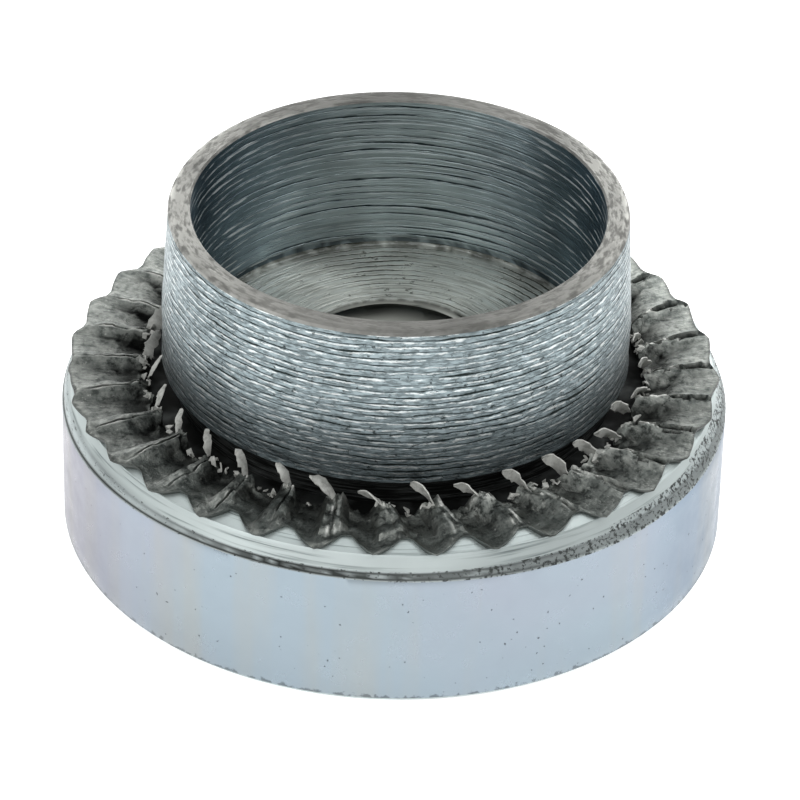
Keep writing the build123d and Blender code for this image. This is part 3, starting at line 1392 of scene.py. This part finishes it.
        # A ridge worn bright follows each line on one side, here strong and there lost, lightened as a
        # painted highlight.
        fleck = add(tree, "TexNoise", {**slow, "Scale": 4.5})
        ahead = add(tree, "Math", {0: turns, 1: 0.30}, operation="ADD")
        ahead = add(tree, "Math", {0: ahead, 1: 0.5}, operation="PINGPONG")
        ahead = add(tree, "Math", {0: ahead, 1: -0.9, 2: fleck}, operation="MULTIPLY_ADD")
        ridge = add(tree, "MapRange", {0: ahead, 1: 0.42, 2: 0.50, 4: self.ridge})
        return add(tree, "Math", {0: line, 1: weak}, operation="MAXIMUM"), ridge

    def dirt_and_shade(
        self, tree: bpy.types.NodeTree, spot: bpy.types.Node, along: Any, lines: bpy.types.Node
    ) -> bpy.types.Node:
        """Adds the painted shade, rust and swarf in the modelled grooves, and the pits, to the lines.

        Args:
            tree: The material's tree.
            spot: The point in millimetres.
            along: Its place along X.
            lines: The tool lines.

        Returns:
            The node that gives lines, pits, painted shade, rust and swarf together, from 0 to 1.
        """
        groove = add(tree, "Attribute", attribute_name=SHADE_AND_GRIME).outputs["Fac"]
        groove_shade_and_grime = add(tree, "Math", {0: groove, 1: self.shade_and_grime_strength}, operation="MULTIPLY")
        dirt_and_shade = add(tree, "Math", {0: lines, 1: groove_shade_and_grime}, operation="MAXIMUM", use_clamp=True)
        if self.pits == 0.0:
            return dirt_and_shade
        pitted = {"Vector": spot, "Scale": self.pit_scale, "Detail": 3.0, "Roughness": 0.65}
        speck = add(tree, "TexNoise", pitted)
        if self.torn[1] > self.torn[0]:
            more = add(tree, "MapRange", {0: along, 1: self.torn[0], 2: self.torn[1], 4: 0.12})
            speck = add(tree, "Math", {0: speck, 1: more}, operation="ADD")
        start = 0.65 - self.pits * 0.2
        pit = add(tree, "MapRange", {0: speck, 1: start, 2: start + 0.1, 4: 0.85})
        return add(tree, "Math", {0: dirt_and_shade, 1: pit}, operation="MAXIMUM", use_clamp=True)

    def tone(self, tree: bpy.types.NodeTree, spot: bpy.types.Node, height: Any) -> bpy.types.Node:
        """Adds the wandering of the tone from place to place and its painted shade towards the foot.

        Args:
            tree: The material's tree.
            spot: The point in millimetres.
            height: Its height.

        Returns:
            The node that gives the tone, about 1.
        """
        drift = add(tree, "TexNoise", {"Vector": spot, "Scale": 0.45, "Detail": 3.0})
        wander = {0: drift, 1: 0.3, 2: 0.7, 3: 1.0 - self.cloud, 4: 1.0 + self.cloud * 0.5}
        tone = add(tree, "MapRange", wander)
        if self.foot[1] > self.foot[0]:
            fall = {0: height, 1: self.foot[0], 2: self.foot[1], 3: self.foot_shade}
            fade = add(tree, "MapRange", fall, interpolation_type="SMOOTHSTEP")
            tone = add(tree, "Math", {0: tone, 1: fade}, operation="MULTIPLY")
        return tone


@dataclass(frozen=True)
class PlatedSteel:
    """The ground head side under bright zinc, with a faint chromate bloom and a few pits.

    Bright zinc mirrors softly, and its clear passivation film gives it a blue cast that
    turns lilac and straw where the film is thicker.

    Args:
        name: The material's name.
        body: Colour of the plating.
        bloom: Colour where the film is thicker.
        straw: Colour where it is thickest.
        pit: Colour inside a pit.
        right_shade_colour: Colour painted on the far right, darker and bluer, as painted shade.
        roughness: Roughness of the plating.
        cells: Number of cells in a millimetre, each with a pit or none.
    """

    name: str
    body: str
    bloom: str
    straw: str
    pit: str
    right_shade_colour: str = "#8395A7"
    roughness: float = 0.30
    cells: float = 4.2

    def make(self) -> bpy.types.Material:
        """Builds the material."""
        material, tree, output = new_material(self.name)
        spot = in_millimetres(tree)
        parts = add(tree, "SeparateXYZ", {0: spot}).outputs
        pit = self.pits(tree, spot)
        metal = self.film(tree, spot, parts["X"])
        metal = add(tree, "Mix", {0: pit, 6: metal, 7: paint(self.pit)}, data_type="RGBA")
        # The foot's edge is torn a little where the foot was faced.
        foot = add(tree, "MapRange", {0: parts["Z"], 1: 0.14, 2: 0.24, 3: 0.16, 4: 0.0})
        torn = {"Vector": spot, "Scale": 5.5, "Detail": 4.0, "Roughness": 0.65}
        ragged = add(tree, "Math", {0: add(tree, "TexNoise", torn), 1: foot}, operation="ADD")
        ragged = add(tree, "MapRange", {0: ragged, 1: 0.60, 2: 0.68, 4: 0.6})
        faint = add(tree, "MapRange", {0: foot, 1: 0.0, 2: 0.02})
        ragged = add(tree, "Math", {0: ragged, 1: faint}, operation="MULTIPLY")
        metal = add(tree, "Mix", {0: ragged, 6: metal, 7: paint(self.pit)}, data_type="RGBA")
        ground = {"Vector": spot, "Scale": 1.4, "Detail": 3.0, "Roughness": 0.65}
        grind = add(tree, "TexNoise", ground)
        smooth, dull = self.roughness - 0.05, self.roughness + 0.08
        rough = add(tree, "MapRange", {0: grind, 1: 0.3, 2: 0.7, 3: smooth, 4: dull})
        relief = add(tree, "Math", {0: grind, 1: 0.03}, operation="MULTIPLY")
        relief = add(tree, "Math", {0: relief, 1: pit}, operation="SUBTRACT")
        bump = add(tree, "Bump", {"Height": relief, "Distance": 0.012 * MM, "Strength": 1.0})
        shader = add(
            tree,
            "BsdfPrincipled",
            {"Base Color": metal, "Metallic": 1.0, "Roughness": rough, "Normal": bump},
        )
        tree.links.new(shader.outputs[0], output.inputs["Surface"])
        return material

    def film(self, tree: bpy.types.NodeTree, spot: bpy.types.Node, x: Any) -> bpy.types.Node:
        """Adds the plating's colour under the passivation film.

        Args:
            tree: The material's tree.
            spot: The point in millimetres.
            x: Its place along X.

        Returns:
            The node that gives the colour.
        """
        wander = add(tree, "TexNoise", {"Vector": spot, "Scale": 0.16, "Detail": 2.0})
        side = add(tree, "MapRange", {0: x, 1: -7.5, 2: -4.6, 3: 0.8, 4: 0.0})
        film = add(tree, "MapRange", {0: wander, 1: 0.50, 2: 0.75, 4: 0.45})
        film = add(tree, "Math", {0: film, 1: side}, operation="ADD", use_clamp=True)
        body, bloom, straw = paint(self.body), paint(self.bloom), paint(self.straw)
        blue = add(tree, "Mix", {0: film, 6: body, 7: bloom}, data_type="RGBA")
        # Painted shade: the far right is painted darker and bluer.
        side_tone = add(tree, "MapRange", {0: x, 1: 5.4, 2: 7.0})
        blue = add(tree, "Mix", {0: side_tone, 6: blue, 7: paint(self.right_shade_colour)}, data_type="RGBA")
        # Faint upright streaks where the plating ran off.
        tall = add(tree, "VectorMath", {0: spot, 1: (1.0, 1.0, 0.08)}, operation="MULTIPLY")
        streak = add(tree, "TexNoise", {"Vector": tall, "Scale": 1.1, "Detail": 3.0})
        run = add(tree, "MapRange", {0: streak, 1: 0.46, 2: 0.78, 4: 0.45})
        tinted = add(tree, "Mix", {0: run, 6: blue, 7: straw}, data_type="RGBA")
        # Painted shade: towards either side the colour is painted darker, where the head's round side
        # turns away.
        aside = add(tree, "Math", {0: x}, operation="ABSOLUTE")
        shade = add(tree, "MapRange", {0: aside, 1: 5.8, 2: 7.5, 3: 1.0, 4: 0.66})
        return add(tree, "VectorMath", {0: tinted, "Scale": shade}, operation="SCALE")

    def pits(self, tree: bpy.types.NodeTree, spot: bpy.types.Node) -> bpy.types.Node:
        """Adds one small pit in most cells, some of them drawn out into a scratch."""
        warp = add(tree, "TexNoise", {"Vector": spot, "Scale": 5.0, "Detail": 2.0})
        pull = {0: warp.outputs["Color"], 1: (0.14, 0.14, 0.14), 2: spot}
        bent = add(tree, "VectorMath", pull, operation="MULTIPLY_ADD")
        cell = add(tree, "TexVoronoi", {"Vector": bent, "Scale": self.cells}).outputs
        chance = add(tree, "SeparateXYZ", {0: cell["Color"]})
        size = add(tree, "MapRange", {0: chance, 1: 0.15, 2: 1.0, 3: 0.02, 4: 0.11})
        pit = add(tree, "Math", {0: size, 1: cell["Distance"]}, operation="SUBTRACT")
        return add(tree, "MapRange", {0: pit, 1: -0.02, 2: 0.02, 4: 0.7})


@dataclass(frozen=True)
class KnurledSteel:
    """Steel pressed and dragged by a knurl, under thin zinc: streaks run with the drag.

    The press smears the metal along the tooth, tears its crests and leaves residue in them.
    Its cracks and hollows are painted darker as painted shade, its torn edges lighter as painted
    highlights.

    Args:
        name: The material's name.
        bright: Colour of the metal worn bright.
        smear: Colour of the dragged metal.
        grime_and_shade: Colour down in the cracks, of residue and painted shade.
        rubbed_highlight: Colour of the torn edges that catch the light, painted as a highlight.
        roughness: Roughness of the metal worn bright.
        streak: Width of a drag line in millimetres.
        relief: Depth of the finest roughness in millimetres.
        soil_and_shade: How dark the dirty blotches are in front, with painted shade, from 0 to 1.
        painted_glint: How bright the painted glints on the small torn spots are, from 0 to 1.
        back_light: How much brighter the back is painted than the front, as a share.
        metallic: How far the metal is bare, from 0 under a matt film to 1.
    """

    name: str
    bright: str
    smear: str
    grime_and_shade: str
    rubbed_highlight: str = "#D2D3CE"
    roughness: float = 0.38
    streak: float = 0.07
    relief: float = 0.05
    soil_and_shade: float = 0.65
    painted_glint: float = 0.5
    back_light: float = 0.75
    metallic: float = 1.0

    def make(self) -> bpy.types.Material:
        """Builds the material."""
        material, tree, output = new_material(self.name)
        spot = in_millimetres(tree)
        parts = add(tree, "SeparateXYZ", {0: spot}).outputs
        flat = add(tree, "VectorMath", {0: spot, 1: (1, 1, 0)}, operation="MULTIPLY")
        out = add(tree, "VectorMath", {0: flat}, operation="LENGTH")
        drag = self.drag(tree, flat, out)
        patch, blotch, speck = (
            add(tree, "TexNoise", {"Vector": spot, "Scale": scale, "Detail": detail, "Roughness": 0.65})
            for scale, detail in ((1.9, 3.0), (5.5, 5.0), (13.0, 3.0))
        )
        mixed: Any = 0.0
        for layer, share in ((drag, 0.30), (patch, 0.28), (blotch, 0.42)):
            mixed = add(tree, "Math", {0: layer, 1: share, 2: mixed}, operation="MULTIPLY_ADD")
        worn = add(tree, "MapRange", {0: mixed, 1: 0.40, 2: 0.62})
        smear, bright = paint(self.smear), paint(self.bright)
        metal = add(tree, "Mix", {0: worn, 6: smear, 7: bright}, data_type="RGBA")
        # Painted light: the back is painted brighter than the front, for the light it catches.
        towards_back = add(tree, "MapRange", {0: parts["Y"], 1: -1.0, 2: 5.0})
        tone = add(tree, "MapRange", {0: towards_back, 3: 1.0, 4: 1.0 + self.back_light})
        # Painted light: the colour is also painted brighter from the left to the right.
        side_tone = add(tree, "MapRange", {0: parts["X"], 1: -6.0, 2: 6.0, 3: 0.92, 4: 1.18})
        tone = add(tree, "Math", {0: tone, 1: side_tone}, operation="MULTIPLY")
        metal = add(tree, "VectorMath", {0: metal, "Scale": tone}, operation="SCALE")
        # Dirt lies in blotches, more towards the inner end, painted darker in front as painted shade;
        # small torn spots between them get painted glints.
        soil_and_shade = add(tree, "MapRange", {0: towards_back, 3: self.soil_and_shade, 4: self.soil_and_shade * 0.4})
        inner = add(tree, "MapRange", {0: out, 1: 6.2, 2: 7.0, 3: 1.0, 4: 0.35})
        soil_and_shade = add(tree, "Math", {0: soil_and_shade, 1: inner}, operation="MULTIPLY")
        soiled_and_shaded = add(tree, "MapRange", {0: blotch, 1: 0.48, 2: 0.38, 4: soil_and_shade})
        painted_glint = add(tree, "Math", {0: speck, 1: 0.6}, operation="MULTIPLY")
        painted_glint = add(tree, "Math", {0: drag, 1: 0.4, 2: painted_glint}, operation="MULTIPLY_ADD")
        painted_glint = add(tree, "MapRange", {0: painted_glint, 1: 0.585, 2: 0.66, 4: self.painted_glint})
        # Painted shade darkens the modelled cracks and hollows, and painted highlights lighten the torn
        # edges.
        deep = add(tree, "Attribute", attribute_name=SHADE_AND_GRIME).outputs["Fac"]
        edge_highlight = add(tree, "MapRange", {0: deep, 1: 0.0, 2: -0.8})
        dark = add(tree, "MapRange", {0: deep, 1: 0.0, 2: 1.0})
        rubbed_highlight, grime_and_shade = paint(self.rubbed_highlight), paint(self.grime_and_shade)
        for share, colour in ((soiled_and_shaded, grime_and_shade), (painted_glint, rubbed_highlight), (edge_highlight, rubbed_highlight), (dark, grime_and_shade)):
            metal = add(tree, "Mix", {0: share, 6: metal, 7: colour}, data_type="RGBA")
        rough = add(tree, "MapRange", {0: worn, 3: self.roughness + 0.16, 4: self.roughness})
        relief = add(tree, "Math", {0: speck, 1: 0.35, 2: mixed}, operation="MULTIPLY_ADD")
        bump = add(tree, "Bump", {"Height": relief, "Distance": self.relief * MM, "Strength": 1.0})
        shader = add(
            tree,
            "BsdfPrincipled",
            {"Base Color": metal, "Metallic": self.metallic, "Roughness": rough, "Normal": bump},
        )
        tree.links.new(shader.outputs[0], output.inputs["Surface"])
        return material

    def drag(self, tree: bpy.types.NodeTree, flat: bpy.types.Node, out: bpy.types.Node) -> bpy.types.Node:
        """Adds the streaks that fan out from the axis as the tooth dragged the metal.

        Args:
            tree: The material's tree.
            flat: The point in plan, in millimetres.
            out: Its distance from the axis.

        Returns:
            The node that gives the streaks, from 0 to 1.
        """
        middle_radius = 6.5
        around = add(tree, "VectorMath", {0: flat}, operation="NORMALIZE")
        spread = {0: around, "Scale": middle_radius / self.streak}
        fan = add(tree, "VectorMath", spread, operation="SCALE")
        reach = add(tree, "Math", {0: out, 1: 2.6}, operation="MULTIPLY")
        streaks = {"Vector": fan, "W": reach, "Scale": 1.0, "Detail": 3.0, "Roughness": 0.65}
        return add(tree, "TexNoise", streaks, noise_dimensions="4D")


Finish = TurnedSteel | PlatedSteel | KnurledSteel


# --------------------------------------------------------------------------- the bush


@dataclass
class RivetBush:
    """The whole bush: its skin, its burrs and the finish of each zone."""

    skins: Skins
    finishes: Mapping[Zone, Finish]

    def build(self) -> list[bpy.types.Object]:
        """Models and dresses the skin and the burrs."""
        skin = self.skins.build()
        skin.data.materials.clear()
        for zone in Zone:
            skin.data.materials.append(self.finishes[zone].make())
        numbers = np.empty(len(skin.data.polygons), dtype=np.int32)
        skin.data.attributes[ZONE].data.foreach_get("value", numbers)
        skin.data.polygons.foreach_set("material_index", numbers)
        make_active(skin)
        bpy.ops.object.shade_smooth_by_angle(angle=math.radians(42))
        burrs = Burrs(self.skins.outer.serrations).build(Skin(skin.data))
        burrs.data.materials.clear()
        burrs.data.materials.append(BURR_FINISH.make())
        for piece in (skin, burrs):
            write_points(piece.data, read_points(piece.data) * MM)
            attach(piece, BODY)
        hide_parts(NODE)
        return [skin, burrs]


FINISHES: dict[Zone, Finish] = {
    Zone.UNDERSIDE: TurnedSteel("faced_zinc_underside", "#A2ABB0", "#7E868A", Lay.ACROSS_FACE, 0.12),
    Zone.HEAD_SIDE: PlatedSteel("bright_zinc_head", "#94A1AA", "#9D98A6", "#A29F93", "#3E4346"),
    Zone.HEAD_EDGE: TurnedSteel(
        "torn_zinc_edge",
        "#BFC8C8",
        "#2C2D2A",
        Lay.ALONG_AXIS,
        feed=0.05,
        stroke=0.35,
        share=0.15,
        depth=0.01,
        roughness=0.5,
        shade_and_grime_strength=0.95,
        pits=0.25,
        pit_scale=11.0,
        torn=(-5.0, 2.0),
    ),
    # Lower down, on the outer wall, the colour is painted a little darker as painted shade.
    Zone.COLLAR_WALL: TurnedSteel(
        "turned_zinc_land",
        "#D6E0DF",
        "#8D9797",
        Lay.ACROSS_FACE,
        feed=0.045,
        share=0.25,
        depth=0.004,
        roughness=0.52,
        foot=(3.66, 3.78),
        foot_shade=0.79,
        cloud=0.1,
        grain=0.2,
    ),
    # The lips' rolled edge is painted dark, as painted shadow under the overhanging lips.
    Zone.LIP_EDGE: TurnedSteel(
        "rolled_steel_lip",
        "#6A6E6B",
        "#1C1D1C",
        Lay.ALONG_AXIS,
        feed=0.05,
        stroke=0.6,
        share=0.3,
        roughness=0.36,
        shade_and_grime_strength=0.9,
        grain=0.0,
    ),
    Zone.SERRATION: KnurledSteel("knurled_zinc_steel", "#939691", "#5E6360", "#111211"),
    # The relief groove is painted dark: partly dark residue, partly painted shade in the recess.
    Zone.RELIEF: TurnedSteel(
        "turned_relief_groove",
        "#4C4F4E",
        "#1D1E1D",
        Lay.ALONG_AXIS,
        feed=0.05,
        stroke=1.0,
        share=0.6,
        depth=0.02,
        roughness=0.5,
    ),
    # The spigot is painted darker towards its foot, as painted shade beside the collar.
    Zone.SPIGOT: TurnedSteel(
        "rough_turned_spigot",
        "#9AA8AC",
        "#303837",
        Lay.ALONG_AXIS,
        shade_and_grime_strength=0.85,
        feed=0.05,
        stroke=0.20,
        share=0.42,
        depth=0.018,
        roughness=0.36,
        pitch=0.155,
        run=1.4,
        weak=0.50,
        ridge=0.8,
        foot=(4.3, 6.7),
        pits=0.25,
        pit_scale=6.0,
        foot_shade=0.34,
        cloud=0.12,
    ),
    # The rim is painted lighter far to either side, as painted light.
    Zone.RIM: TurnedSteel(
        "faced_steel_rim",
        "#8C8C88",
        "#848480",
        Lay.ACROSS_FACE,
        side_light_colour="#ACACA7",
        cloud=0.35,
        feed=0.12,
        stroke=0.35,
        share=0.45,
        depth=0.008,
        roughness=0.45,
        grain=0.5,
    ),
    # The bore is painted darker and bluer far to either side, as painted shade, and its ridges lighter as
    # painted highlights.
    Zone.BORE: TurnedSteel(
        "bored_steel_wall",
        "#C0CED0",
        "#2A3538",
        Lay.ALONG_AXIS,
        feed=0.05,
        stroke=3.5,
        share=0.4,
        depth=0.026,
        roughness=0.33,
        shade_and_grime_strength=0.8,
        cloud=0.4,
        pitch=0.19,
        run=4.0,
        weak=0.35,
        ridge=1.0,
        side_light_colour="#6B8495",
        grain=0.7,
    ),
    Zone.FLOOR: TurnedSteel(
        "faced_steel_floor",
        "#D8DBD4",
        "#4A4D45",
        Lay.ACROSS_FACE,
        feed=0.07,
        stroke=0.9,
        share=0.42,
        depth=0.020,
        roughness=0.4,
        shade_and_grime_strength=0.8,
        cloud=0.35,
        pits=0.22,
        pitch=0.19,
        run=1.6,
        weak=0.45,
        ridge=0.3,
        grain=0.7,
    ),
    Zone.THREAD: TurnedSteel(
        "tapped_steel_thread",
        "#B4B7B0",
        "#2A2C28",
        Lay.ALONG_AXIS,
        feed=0.06,
        stroke=1.5,
        share=0.4,
        shade_and_grime_strength=0.8,
    ),
}
BURR_FINISH = KnurledSteel(
    "torn_steel_burr",
    "#C9CAC5",
    "#A9AAA5",
    "#5A5A57",
    roughness=0.5,
    streak=0.05,
    relief=0.02,
    soil_and_shade=0.3,
    back_light=0.0,
    metallic=0.3,
)


# --------------------------------------------------------------------------- the studio


@dataclass(frozen=True)
class Softbox:
    """A square soft light that looks equally bright from every place it lights.

    Args:
        name: The light's name.
        azimuth: Direction it stands in, in degrees, where -90 is the camera's side.
        elevation: How high it stands, in degrees.
        width: Width in metres.
        height: Height in metres.
        radiance: How bright its face is.
        distance: Distance from the bush in metres.
    """

    name: str
    azimuth: float
    elevation: float
    width: float
    height: float
    radiance: float
    distance: float = 0.35

    def build(self) -> None:
        """Adds the light, facing the bush."""
        turn, tilt = math.radians(self.azimuth), math.radians(self.elevation)
        away = Vector(
            (math.cos(tilt) * math.cos(turn), math.cos(tilt) * math.sin(turn), math.sin(tilt))
        )
        lamp = bpy.data.lights.new(self.name, "AREA")
        lamp.shape, lamp.size, lamp.size_y = "RECTANGLE", self.width, self.height
        lamp.energy = self.radiance * math.pi * self.width * self.height
        holder = bpy.data.objects.new(self.name, lamp)
        holder.location = away * self.distance
        holder.rotation_euler = away.to_track_quat("Z", "Y").to_euler()
        bpy.context.collection.objects.link(holder)


@dataclass
class Studio:
    """A plain white floor, soft lights and the camera.

    Args:
        floor_glow: Light that the white floor gives off itself, as a lit light table does.
        surround: Brightness of the room.
        elevation: The camera's height above the level of its target, in degrees.
        distance: The camera's distance from its target in metres.
        lens: Focal length in millimetres on a 36 mm sensor.
        roll: How far the camera is turned about its own axis, in degrees.
        aim_height: Height of the target in metres.
        shift: How far the lens is shifted sideways and upwards, as a share of the sensor.
        lights: The soft lights.
    """

    floor_glow: float = 0.70
    surround: float = 0.22
    elevation: float = 33.87
    distance: float = 0.1058
    lens: float = 210.4
    roll: float = 1.485
    aim_height: float = 0.003
    shift: Point = (0.0073, -0.0065)
    lights: tuple[Softbox, ...] = (
        Softbox("back_left_softbox", 113.0, 26.0, 0.10, 0.14, 3.4),
        Softbox("back_right_softbox", 67.0, 26.0, 0.10, 0.14, 4.1),
        Softbox("back_middle_softbox", 90.0, 47.0, 0.34, 0.12, 0.6),
        Softbox("top_softbox", 90.0, 68.0, 0.30, 0.16, 1.0),
        Softbox("back_low_softbox", 90.0, 10.0, 0.40, 0.10, 3.0),
        Softbox("left_high_softbox", 180.0, 52.0, 0.22, 0.20, 1.0),
        Softbox("right_high_softbox", 0.0, 52.0, 0.22, 0.20, 2.9),
        Softbox("left_front_softbox", -145.0, 25.0, 0.20, 0.20, 2.1),
        Softbox("front_softbox", -90.0, 17.0, 0.50, 0.14, 0.9),
        Softbox("front_top_softbox", -90.0, 58.0, 0.30, 0.18, 1.7),
    )

    def floor(self) -> None:
        """Lays the plain floor."""
        deselect_all()
        bpy.ops.mesh.primitive_plane_add(size=6.0, location=(0.0, 0.0, -0.00002))
        sheet = bpy.context.object
        bpy.ops.object.transform_apply(location=True, rotation=True, scale=True)
        sheet.name = sheet.data.name = "studio_floor"
        material, tree, output = new_material("white_studio_paper")
        shader = add(
            tree,
            "BsdfPrincipled",
            {
                "Base Color": paint("#F4F4F4"),
                "Roughness": 0.9,
                "Specular IOR Level": 0.0,
                "Emission Color": paint("#FFFFFF"),
                "Emission Strength": self.floor_glow,
            },
        )
        tree.links.new(shader.outputs[0], output.inputs["Surface"])
        sheet.data.materials.append(material)

    def camera(self) -> None:
        """Sets up the camera."""
        tilt = math.radians(self.elevation)
        lens = bpy.data.cameras.new("camera")
        lens.lens, lens.sensor_width = self.lens, 36.0
        lens.shift_x, lens.shift_y = self.shift
        lens.clip_start, lens.clip_end = 0.001, 20.0
        eye = bpy.data.objects.new("camera", lens)
        bpy.context.collection.objects.link(eye)
        aim = Vector((0.0, 0.0, self.aim_height))
        eye.location = aim + self.distance * Vector((0.0, -math.cos(tilt), math.sin(tilt)))
        look = (eye.location - aim).to_track_quat("Z", "Y").to_matrix()
        eye.rotation_euler = (look @ Matrix.Rotation(math.radians(self.roll), 3, "Z")).to_euler()
        bpy.context.scene.camera = eye

    def build(self) -> None:
        """Builds floor, lights, room and camera."""
        self.floor()
        for light in self.lights:
            light.build()
        world = bpy.data.worlds.new("room")
        world.use_nodes = True
        room = world.node_tree.nodes["Background"]
        room.inputs["Color"].default_value = paint("#EEF0F2")
        room.inputs["Strength"].default_value = self.surround
        bpy.context.scene.world = world
        bpy.context.scene.view_settings.view_transform = "Standard"
        self.camera()


def main() -> None:
    """Builds the bush and the studio, and reports each piece."""
    logging.basicConfig(level=logging.INFO, format="%(name)s: %(message)s")
    outer = OuterSkin(
        top=CAD_BOX[1][2] / MM,
        bore_radius=mount_radius("spigot_bore"),
        root_radius=mount_radius("sheet_seat"),
    )
    skins = Skins(
        outer=outer,
        head_radius=min(abs(side) for corner in CAD_BOX for side in corner[:2]) / MM,
        hole_radius=mount_radius("tapped_hole"),
    )
    for piece in RivetBush(skins, FINISHES).build():
        LOG.info("%s: %d faces", piece.name, len(piece.data.polygons))
    Studio().build()


if __name__ == "__main__":
    main()
